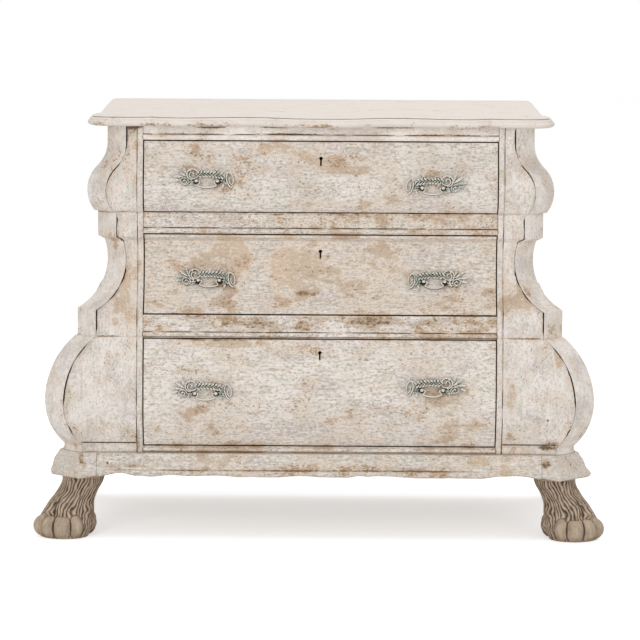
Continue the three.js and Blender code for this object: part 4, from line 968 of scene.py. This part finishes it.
FRONT_STAINS = {  # olive and black dirt behind the handles and where water has stood
    "top": [
        (-255, 716, 30, 9, 0.2), (-195, 716, 22, 9, 0.16), (200, 706, 22, 9, 0.12), (252, 706, 22, 8, 0.12)],
    "middle": [
        (-258, 512, 26, 8, 0.24), (-200, 510, 22, 8, 0.24), (200, 510, 22, 8, 0.2), (258, 510, 24, 8, 0.2),
        (-24, 492, 36, 6, 0.3)],
    "bottom": [
        (-256, 294, 26, 8, 0.2), (-202, 294, 22, 8, 0.18), (204, 302, 22, 8, 0.18),
        (256, 302, 24, 8, 0.18), (-210, 401, 100, 4, 0.3)]}
# How worn each front is, and its white
FRONT_COAT = {"top": (0.28, "#E7DED6"), "middle": (0.5, "#E1D6CA"), "bottom": (0.22, "#E9E1D9")}


def drawer_front(drawer, material):
    box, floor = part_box(drawer + "_drawer_front"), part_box(drawer + "_drawer_bottom")
    low, high, inner = box[0].z / MM, box[1].z / MM, box[1].y / MM
    half = box[1].x / MM
    groove_low, groove_high = floor[0].z / MM - GROOVE_EASE, floor[1].z / MM + GROOVE_EASE
    section = [facing(low + 0.4, -2.4), facing(low + 0.9, -0.7)]
    section += [facing(z) for z in profile_heights(low + 2.2, high - 2.2, 4)]
    section += [facing(high - 0.9, -0.7), facing(high - 0.4, -2.4), (inner, high), (inner, groove_high),
                (inner - GROOVE_DEEP, groove_high), (inner - GROOVE_DEEP, groove_low), (inner, groove_low),
                (inner, low)]

    def carved(x, y, z):
        """The face waves a little and its edges are bruised by use"""
        if y > inner - GROOVE_DEEP - 1:
            return x, y, z
        edge = max(0, 1 - min(z - low, high - z, half - abs(x)) / 5)
        bruise = edge * max(0, noise.noise((x / 14, z / 6, low)) - 0.05) * 3.2
        return x, y + bruise + 0.6 * abs(noise.noise((x / 75, z / 40, low))), z

    front = run_between(drawer + "_drawer_face", section, 0.4 - half, half - 0.4, 6, material, shift=carved,
                        crease=50)
    foot = high - KEYHOLE_DROP[drawer] - KEYHOLE_HEIGHT / 2
    mouth = math.asin(KEYHOLE_SLOT / 2 / KEYHOLE_HEAD)
    head = high - KEYHOLE_DROP[drawer] + KEYHOLE_HEIGHT / 2 - KEYHOLE_HEAD
    outline = [(-KEYHOLE_SLOT / 2, foot), (KEYHOLE_SLOT / 2, foot)]
    for step in range(17):
        angle = -math.pi / 2 + mouth + (2 * math.pi - 2 * mouth) * step / 16
        outline.append((KEYHOLE_HEAD * math.cos(angle), head + KEYHOLE_HEAD * math.sin(angle)))
    take_out(front, run_between("keyhole", outline, box[0].y / MM - 5, inner + 5, 200, material, axis="Y"))
    return front


for drawer in DRAWERS:
    wear, white = FRONT_COAT[drawer]
    paint = chalk_paint(drawer + "_drawer_chalk_paint", "X", wear, flecks=0.85, grime_and_shade=0.8, white=white,
                        places=FRONT_WEAR[drawer], stains_and_shade=FRONT_STAINS[drawer])
    dress(drawer_front(drawer, paint), drawer + "_drawer", drawer + "_drawer_front")

deep_board = aged_pine("drawer_side_pine", "Y")
wide_board = aged_pine("drawer_bottom_pine", "X")
for drawer in DRAWERS:
    give(deep_board, drawer + "_drawer_side_right", drawer + "_drawer_side_left")
    give(wide_board, drawer + "_drawer_back", drawer + "_drawer_bottom")

# LOCKS AND NAILS: a forged iron lock is let in behind each keyhole, and its bolt rises into the rail. Hand
# made nails hold the thin sides to the front and the back; their flat heads sit on the wood.
NAIL_COUNT, NAIL_HEAD, NAIL_MARGIN, NAIL_INSET = 4, 3.2, 16, 6


def rusted_iron():
    """Old forged iron: near black, with brown rust that has crept in from the edges and no shine left"""
    material, tree = new_material("rusted_iron")
    spot = add(tree, "ShaderNodeTexCoord").outputs["Object"]
    cloud = add(tree, "ShaderNodeTexNoise", {"Vector": spot, "Scale": 60, "Detail": 6, "Roughness": 0.7})
    rust = add(tree, "ShaderNodeMapRange", {0: cloud, 1: 0.45, 2: 0.62})
    colour = add(tree, "ShaderNodeMix", {0: rust, 6: linear("#3A3632"), 7: linear("#6B4A33")},
                 data_type="RGBA")
    metal = add(tree, "ShaderNodeMapRange", {0: rust, 3: 0.8, 4: 0.1})
    rough = add(tree, "ShaderNodeMapRange", {0: rust, 3: 0.45, 4: 0.85})
    pits = add(tree, "ShaderNodeTexNoise", {"Vector": spot, "Scale": 700, "Detail": 4})
    return surfaced(material, colour.outputs[2], rough, pits, 0.4, 0.4, {"Metallic": metal})


def joined(parts):
    """Pieces made one, which keeps the name of the first"""
    with bpy.context.temp_override(active_object=parts[0], selected_editable_objects=parts):
        bpy.ops.object.join()
    return parts[0]


def nail_row_tree():
    """Geometry Nodes: nail heads in a row upwards, each turned and tipped a little by its own number"""
    tree, given = growing_tree("nail_row", [("Count", "Int"), ("Seed", "Int"), ("Foot", "Vector"),
                                            ("Pitch", "Float"), ("Head", "Float"), ("Finish", "Material")])
    step = add(tree, "ShaderNodeCombineXYZ", {"Z": given["Pitch"]})
    row = add(tree, "GeometryNodeMeshLine", {"Count": given["Count"], "Start Location": given["Foot"],
                                             "Offset": step})
    head = add(tree, "GeometryNodeMeshUVSphere", {"Segments": 10, "Rings": 6, "Radius": given["Head"]})
    tip = add(tree, "FunctionNodeRandomValue", {"Min": (-0.05, -0.05, 0), "Max": (0.05, 0.05, 6.28),
                                                "Seed": given["Seed"]}, data_type="FLOAT_VECTOR")
    on_side = add(tree, "FunctionNodeRotateEuler", {"Rotation": tip.outputs[0],
                                                    "Rotate By": (0, math.pi / 2, 0)})
    heads = add(tree, "GeometryNodeInstanceOnPoints", {"Points": row, "Instance": head, "Rotation": on_side,
                                                       "Scale": (1, 0.9, 0.14)})
    return grown(tree, heads, given["Finish"])


iron = rusted_iron()
nails = nail_row_tree()
for drawer in DRAWERS:
    give(iron, drawer + "_lock", drawer + "_lock_bolt")
    for side, out in (("right", 1), ("left", -1)):
        low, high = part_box(drawer + "_drawer_side_" + side)
        face = high.x if side == "right" else low.x
        rows = [piece_from(drawer + "_" + side + "_side_nails", [], [], iron) for _ in range(2)]
        for seed, depth in enumerate((low.y + NAIL_INSET * MM, high.y - NAIL_INSET * MM)):
            grow(rows[seed], nails, Count=NAIL_COUNT, Seed=seed, Head=NAIL_HEAD * MM, Finish=iron,
                 Foot=(face - 0.1 * MM * out, depth, low.z + NAIL_MARGIN * MM),
                 Pitch=(high.z - low.z - 2 * NAIL_MARGIN * MM) / (NAIL_COUNT - 1))
        heads = joined(rows)
        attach(heads, drawer + "_drawer")

# HANDLES: cast brass in two scrolls, leaves and a garland, held by two posts through the drawer front. They
# were painted over with the chest, and the paint has stayed on the high parts over dark and green brass.
POSTS = {"outer": 15.1, "inner": -27}
POST_RADIUS, PIN_RADIUS, PIN_DEEP = 4.2, 2.1, 3.5
PLATE_MIDDLE, PIVOT_OUT, BAIL_WIRE, BAIL_END, BAIL_DROP = -5.2, -10.4, 1.9, 1.5, 12.7
CASTING_VOXEL = 0.62
HANDLES = {  # drawer and hand: x, z and lean in degrees, where the profile carries it
    ("bottom", "right"): (231, 303.25, -4.3), ("bottom", "left"): (-234, 294.75, -1.48),
    ("middle", "right"): (234, 512.5, -18.76), ("middle", "left"): (-229, 512.5, -18.76),
    ("top", "right"): (228, 707.5, -2.8), ("top", "left"): (-232, 717.5, -8.31)}
SCROLLS = [  # centre, half width, half height, wire, lean, turns inward
    ((23.1, 14.0), 11.0, 10.5, 2.1, 0.0, 1.1), ((39.1, 0.0), 8.2, 6.8, 1.8, 0.3, -1.0),
    ((-35.0, 7.1), 6.3, 6.3, 1.8, 0.0, -1.0), ((-52.0, 3.0), 7.0, 15.0, 2.0, -0.25, 0.6)]
LEAVES = [  # root, length, half width, direction
    ((38.1, 7.9), 26.0, 4.3, -0.35), ((38.1, 7.9), 25.0, 4.3, 0.1), ((36.0, 10.0), 23.0, 4.3, 0.6),
    ((34.0, 12.0), 17.5, 3.8, 1.15), ((-4.0, 16.0), 12.6, 3.8, 0.75), ((-22.0, 14.0), 13.6, 3.8, 1.9),
    ((-40.0, 0.0), 14.6, 3.8, -1.3), ((-36.0, 10.0), 15.0, 3.8, 2.5), ((-36.0, 6.0), 15.0, 3.8, -2.2),
    ((-44.0, 10.0), 12.0, 3.4, 2.0), ((24.0, 4.0), 14.0, 3.8, -1.2), ((30.0, 10.0), 15.0, 3.8, 1.8),
    ((14.0, 14.0), 11.0, 3.4, 2.2)]
HUNG_LEAF = (9.0, 2.9)  # length and half width
STEM, STEM_STEPS = 1.6, 12
GARLANDS = [  # the two ends and the crown of an arch, how many leaves hang on it, and their size
    ((16.0, 12.0), (-32.0, 12.0), 5.0, 16, 1.15), ((20.0, -1.0), (34.0, -1.0), 0.0, 6, 0.9),
    ((-46.0, 1.0), (-31.0, 1.0), 0.0, 6, 0.9)]


def tube(path, radii, around=10):
    """Points and faces of a bar through places (x, y, z), each with its radius"""
    points, count = [], len(path)
    for i, place in enumerate(path):
        along = Vector(path[min(i + 1, count - 1)]) - Vector(path[max(i - 1, 0)])
        side = along.cross(Vector((0, 1, 0))).normalized()
        lift = side.cross(along).normalized()
        points += [Vector(place) + (side * cos + lift * sin) * radii[i] for cos, sin in circle(around)]
    return points, ring_faces(count, around)


def scroll_horn(centre, wide, high, wire, lean, turns):
    """A scroll: a wire that runs once round its oval and then curls in to a round eye"""
    path, radii, steps = [], [], 60
    for step in range(steps + 1):
        share = step / steps
        angle = -math.pi / 2 + math.copysign(2 * math.pi, turns) * (1 + abs(turns) * 0.62) * share
        shrink = 1 - max(0, share - 0.5) ** 0.8 * 1.35
        x, z = placed(centre, wide * shrink * math.cos(angle), high * shrink * math.sin(angle), lean)
        path.append((x, PLATE_MIDDLE - 0.9 * share, z))
        radii.append(wire * (1.0 - 0.42 * share))
    eye = [Vector(path[-1]) + Vector((0, offset, 0)) for offset in (1.2, 0.4, -0.6, -1.4, -1.8)]
    knob = tube([tuple(p + Vector((0.01 * i, 0, 0))) for i, p in enumerate(eye)], [1.2, 1.9, 2.1, 1.5, 0.5])
    return [tube(path, radii), knob]


def leaf_blade(root, length, half, turn):
    """A lobed leaf with a raised midrib, curling forward at its tip"""
    points, rings, around = [], 22, 18
    for ring in range(rings + 1):
        share = ring / rings
        lobes = 0.78 + 0.22 * abs(math.cos(3.5 * math.pi * share))
        width = max(half * (0.3 + 1.45 * share * (1 - share) ** 0.55) * lobes * (1 - share ** 7), 0.35)
        thick = max(1.7 * (1 - 0.55 * share), 0.5)
        curl = 1.9 * share * share
        for across, out in circle(around):
            front = max(out, 0) * (0.62 + 0.55 * math.exp(-(across / 0.2) ** 2) + 0.2 * (abs(across) > 0.62))
            depth = PLATE_MIDDLE - curl - thick * front + thick * 0.8 * max(-out, 0)
            x, z = placed(root, share * length, across * width, turn)
            points.append((x, depth, z))
    return points, [tuple(reversed(face)) for face in ring_faces(rings + 1, around)]


def post(x):
    """A turned post with a collar where it carries the plate and a petalled end beyond the bail"""
    profile = [(-0.3, 4.2), (-3.0, 4.2), (-3.3, 5.5), (-4.4, 5.8), (-6.2, 5.6), (-7.3, 4.6), (-8.2, 4.0),
               (-9.0, 4.1), (-12.6, 4.1), (-13.8, 3.7), (-14.8, 2.6), (-15.25, 1.0)]
    points, petals_from, around = [], -12.8, 40
    for y, radius in profile:
        for step, (cos, sin) in enumerate(circle(around)):
            petal = radius * (1 - 0.16 * (y < petals_from) * math.cos(4 * (2 * math.pi * step / around)) ** 2)
            points.append((x + petal * cos, y, petal * sin))
    return points, ring_faces(len(profile), around)


def garland_tree():
    """Geometry Nodes: leaves along a path, leaning out to either side in turn"""
    tree, given = growing_tree("garland", [("Path", "Geometry"), ("Leaf", "Object"), ("Count", "Int"),
                                           ("Lean", "Float"), ("Size", "Float"), ("Finish", "Material")])
    line = add(tree, "GeometryNodeMeshToCurve", {"Mesh": given["Path"]})
    spots = add(tree, "GeometryNodeCurveToPoints", {"Curve": line, "Count": given["Count"]}, mode="COUNT")
    run = add(tree, "ShaderNodeSeparateXYZ", {"Vector": spots.outputs["Tangent"]})
    heading = add(tree, "ShaderNodeMath", {0: run.outputs["Z"], 1: run.outputs["X"]}, operation="ARCTAN2")
    number = add(tree, "GeometryNodeInputIndex")
    odd = add(tree, "ShaderNodeMath", {0: number, 1: 2.0}, operation="MODULO")
    side = add(tree, "ShaderNodeMath", {0: odd, 1: 2.0, 2: -1.0}, operation="MULTIPLY_ADD")
    lean = add(tree, "ShaderNodeMath", {0: side, 1: given["Lean"], 2: heading}, operation="MULTIPLY_ADD")
    turned = add(tree, "ShaderNodeMath", {0: lean, 1: -1.0}, operation="MULTIPLY")
    rotation = add(tree, "ShaderNodeCombineXYZ", {"Y": turned})
    leaf = add(tree, "GeometryNodeObjectInfo", {"Object": given["Leaf"]})
    hung = add(tree, "GeometryNodeInstanceOnPoints", {"Points": spots, "Instance": leaf.outputs["Geometry"],
                                                      "Rotation": rotation, "Scale": given["Size"]})
    return grown(tree, hung, given["Finish"])


def overpainted_brass():
    """Cast brass under old paint: pale and matt on the raised parts, olive black in the hollows and grey
    green where the metal has bled through. The attribute "carving" is 1 on ridges and 0 in hollows, and is
    low on faces turned aside or down, whose dark is partly painted shade"""
    material, tree = new_material("overpainted_brass")
    spot = add(tree, "ShaderNodeTexCoord").outputs["Object"]
    depth = add(tree, "ShaderNodeAttribute", attribute_name="carving").outputs["Fac"]
    cloud = add(tree, "ShaderNodeTexNoise", {"Vector": spot, "Scale": 55, "Detail": 5, "Roughness": 0.65})
    fine = add(tree, "ShaderNodeTexNoise", {"Vector": spot, "Scale": 420, "Detail": 4, "Roughness": 0.65})
    metal = veil(tree, linear("#3E3C2C"), "#75847C", cloud, 0.42, 0.58)
    ragged = add(tree, "ShaderNodeMath", {0: fine, 1: 0.9, 2: depth}, operation="MULTIPLY_ADD")
    ragged = add(tree, "ShaderNodeMath", {0: cloud, 1: -0.5, 2: ragged}, operation="MULTIPLY_ADD")
    left = add(tree, "ShaderNodeMapRange", {0: ragged, 1: 0.68, 2: 0.84})
    paint = add(tree, "ShaderNodeMix", {0: fine, 6: linear("#F0E9DF"), 7: linear("#CFC8BB")},
                data_type="RGBA")
    coat = add(tree, "ShaderNodeMix", {0: left, 6: metal, 7: paint.outputs[2]}, data_type="RGBA")
    coat = veil(tree, coat.outputs[2], "#29281B", depth, 0.46, 0.3, 0.95)
    bare = add(tree, "ShaderNodeMapRange", {0: left, 3: 0.55, 4: 0.0})
    return surfaced(material, coat, 0.68, fine, 0.35, 0.35, {"Metallic": bare})


def mark_hollows(piece, reach_mm, rounds):
    """Stores how high each point lies above the mean of its neighbourhood, as the attribute carving"""
    mesh = piece.data
    count, edges = len(mesh.vertices), np.empty(len(mesh.edges) * 2, dtype=np.int64)
    mesh.edges.foreach_get("vertices", edges)
    here, normals = np.empty(count * 3), np.empty(count * 3)
    mesh.vertices.foreach_get("co", here)
    mesh.vertices.foreach_get("normal", normals)
    edges, here, normals = edges.reshape(-1, 2), here.reshape(-1, 3), normals.reshape(-1, 3)
    both = np.concatenate([edges, edges[:, ::-1]])
    links = np.bincount(both[:, 0], minlength=count)
    mean = here.copy()
    for _ in range(rounds):
        total = np.stack([np.bincount(both[:, 0], mean[both[:, 1], k], count) for k in range(3)], axis=1)
        mean = total / np.maximum(links, 1)[:, None]
    above = ((here - mean) * normals).sum(axis=1) / (reach_mm * MM)
    # The brush came from the front and a little from above, and missed what lies behind and below. The dark
    # left on faces turned down also stands in for the shade under the bail and the scrolls: painted shade
    brushed_and_lit = np.clip((-0.9 * normals[:, 1] + 0.43 * normals[:, 2] - 0.35) / 0.3, 0, 1)
    store_carving(mesh, (np.clip(0.5 + 0.5 * above, 0, 1) * brushed_and_lit).astype(np.float32))


brass = overpainted_brass()
hung_leaf = piece_from("hung_leaf", *leaf_blade((0, 0), *HUNG_LEAF, 0.0), brass)
garland = garland_tree()
parts = [piece_from("scroll", *made, brass) for row in SCROLLS for made in scroll_horn(*row)]
parts += [piece_from("leaf", *leaf_blade(*row), brass) for row in LEAVES]
parts += [piece_from("post", *post(x), brass) for x in POSTS.values()]
for start, end, crown, count, size in GARLANDS:
    shares = [step / STEM_STEPS for step in range(STEM_STEPS + 1)]
    path = [(start[0] + (end[0] - start[0]) * s, PLATE_MIDDLE, start[1] + crown * 2 * s * (1 - s))
            for s in shares]
    parts.append(piece_from("stem", *tube(path, [STEM] * len(path)), brass))
    leaves = line_piece("garland", [(x, 0, z) for x, _, z in path], [(i, i + 1) for i in range(STEM_STEPS)])
    parts.append(grow(leaves, garland, Leaf=hung_leaf, Count=count, Lean=0.75, Size=size, Finish=brass))
bpy.data.objects.remove(hung_leaf)
casting = fused(joined(parts), CASTING_VOXEL, 2)
for name, inward in (("outer", -1), ("inner", 1)):  # the holes in which the ends of the bail turn
    x = POSTS[name] + inward * POST_RADIUS
    pin_hole = [(x + way * PIN_DEEP, PIVOT_OUT + PIN_RADIUS * cos, PIN_RADIUS * sin)
                for way in (-1, 1) for cos, sin in circle(20)]
    take_out(casting, piece_from("pin_hole", pin_hole, ring_faces(2, 20), brass))
mark_hollows(casting, 0.9, 14)


def through(places, steps):
    """A smooth path that passes through each place, with so many steps between two"""
    out = []
    for i in range(len(places) - 1):
        a, b = Vector(places[max(i - 1, 0)]), Vector(places[i])
        c, d = Vector(places[i + 1]), Vector(places[min(i + 2, len(places) - 1)])
        for step in range(steps):
            t = step / steps
            out.append(0.5 * (2 * b + (c - a) * t + (2 * a - 5 * b + 4 * c - d) * t * t
                              + (3 * b - a - 3 * c + d) * t ** 3))
    return out + [Vector(places[-1])]


# The bail is a brass rod bent to a shallow loop, with its ends turned out into the posts.
outer, inner = POSTS["outer"] - POST_RADIUS, POSTS["inner"] + POST_RADIUS
centre = (outer + inner) / 2
half = [(outer + 3, 0), (outer, 0), (outer - 1.8, 0), (outer - 2, 3), (outer + 1.2, 8.2),
        (outer - 5, 11.2), ((outer + centre) / 2 - 1, BAIL_DROP - 0.4)]
places = half + [(centre, BAIL_DROP)] + [(2 * centre - x, drop) for x, drop in reversed(half)]
path = through([(x, PIVOT_OUT, -drop) for x, drop in places], 6)
middle = len(path) // 2
wire = [BAIL_END + (BAIL_WIRE - BAIL_END) * (1 - abs(i / middle - 1)) for i in range(len(path))]
loop = piece_from("bail", *tube(path, wire, 16), brass)
loop.data.flip_normals()
mark_hollows(loop, 0.2, 2)

for (drawer, hand), (x, z, lean) in HANDLES.items():
    mirror = 1 if hand == "right" else -1
    place = Matrix.Translation((x * MM, (WAIST - reach(z, FRONT_REACH)) * MM, z * MM))
    place = place @ Matrix.Rotation(math.radians(lean), 4, "X") @ Matrix.Diagonal((mirror, 1, 1, 1))
    for source, kind, body in ((casting, "plate", "_drawer"), (loop, "bail", "_bail_" + hand)):
        piece = linked(drawer + "_" + hand + "_cast_" + kind, source.data.copy())
        piece.data.transform(place)
        if hand == "left":
            piece.data.flip_normals()
        dress(piece, drawer + body, drawer + "_handle_" + kind + "_" + hand)
bpy.data.objects.remove(casting)
bpy.data.objects.remove(loop)

# THE ROOM: a white floor and a soft sky all round, one large lamp high on the left, a weak one on the right
# and one overhead. The camera stands 7.7 m off and 1.4 m up, looks down a little and leans a third of a
# degree.
CAMERA_BACK, CAMERA_RISE = 7.745, 1.379
CAMERA_PITCH, CAMERA_LEAN = math.radians(7.115), math.radians(0.36)
LENS, SENSOR, FAR = 213.2, 36, 60
FLOOR_HALF = 14000
SKY = 0.52  # how strong the sky lights; a camera, a gloss or a glass sees it white
LAMP_AIM = Vector((0, 0, 0.4))
LAMPS = [("key", (-2.5, -6.3, 2.3), 3.0, 121), ("fill", (3.6, -5.4, 1.6), 3.0, 43),  # place, size and watts
         ("overhead", (0.3, 0.3, 3.6), 3.5, 52)]

floor_white, tree = new_material("white_sweep")
seen = add(tree, "ShaderNodeLightPath")
matt = add(tree, "ShaderNodeBsdfDiffuse", {"Color": linear("#F4F4F4")})
glow = add(tree, "ShaderNodeEmission", {"Color": (1, 1, 1, 1), "Strength": SKY})
lifted = add(tree, "ShaderNodeAddShader", {0: matt, 1: glow})
shader = add(tree, "ShaderNodeMixShader", {0: seen.outputs["Is Camera Ray"], 1: matt, 2: lifted})
add(tree, "ShaderNodeOutputMaterial", {"Surface": shader})
corners = [(x * FLOOR_HALF, y * FLOOR_HALF, 0) for x, y in SQUARE]
piece_from("studio_floor", corners, [(0, 1, 2, 3)], floor_white)

world = bpy.data.worlds.new("studio")
bpy.context.scene.world = world
world.use_nodes = True
tree = world.node_tree
tree.nodes.clear()
seen = add(tree, "ShaderNodeLightPath").outputs
direct = add(tree, "ShaderNodeMath", {0: seen["Is Camera Ray"], 1: seen["Is Glossy Ray"]},
             operation="MAXIMUM")
either = add(tree, "ShaderNodeMath", {0: direct, 1: seen["Is Transmission Ray"]}, operation="MAXIMUM")
strength = add(tree, "ShaderNodeMapRange", {0: either, 1: 0.0, 2: 1.0, 3: SKY, 4: 1.0})
sky = add(tree, "ShaderNodeBackground", {"Color": (1, 1, 1, 1), "Strength": strength})
add(tree, "ShaderNodeOutputWorld", {"Surface": sky})

for name, place, size, watts in LAMPS:
    lamp = bpy.data.lights.new(name + "_lamp", "AREA")
    lamp.shape, lamp.size, lamp.energy = "SQUARE", size, watts
    stand = linked(name + "_lamp", lamp)
    stand.location = place
    stand.rotation_euler = (LAMP_AIM - Vector(place)).to_track_quat("-Z", "Y").to_euler()

lens = bpy.data.cameras.new("camera")
lens.lens, lens.sensor_width, lens.clip_end = LENS, SENSOR, FAR
camera = linked("camera", lens)
camera.matrix_world = (Matrix.Translation((0, -CAMERA_BACK, CAMERA_RISE))
                       @ Matrix.Rotation(math.pi / 2 - CAMERA_PITCH, 4, "X")
                       @ Matrix.Rotation(CAMERA_LEAN, 4, "Z"))
bpy.context.scene.camera = camera
bpy.context.scene.view_settings.view_transform = "Standard"
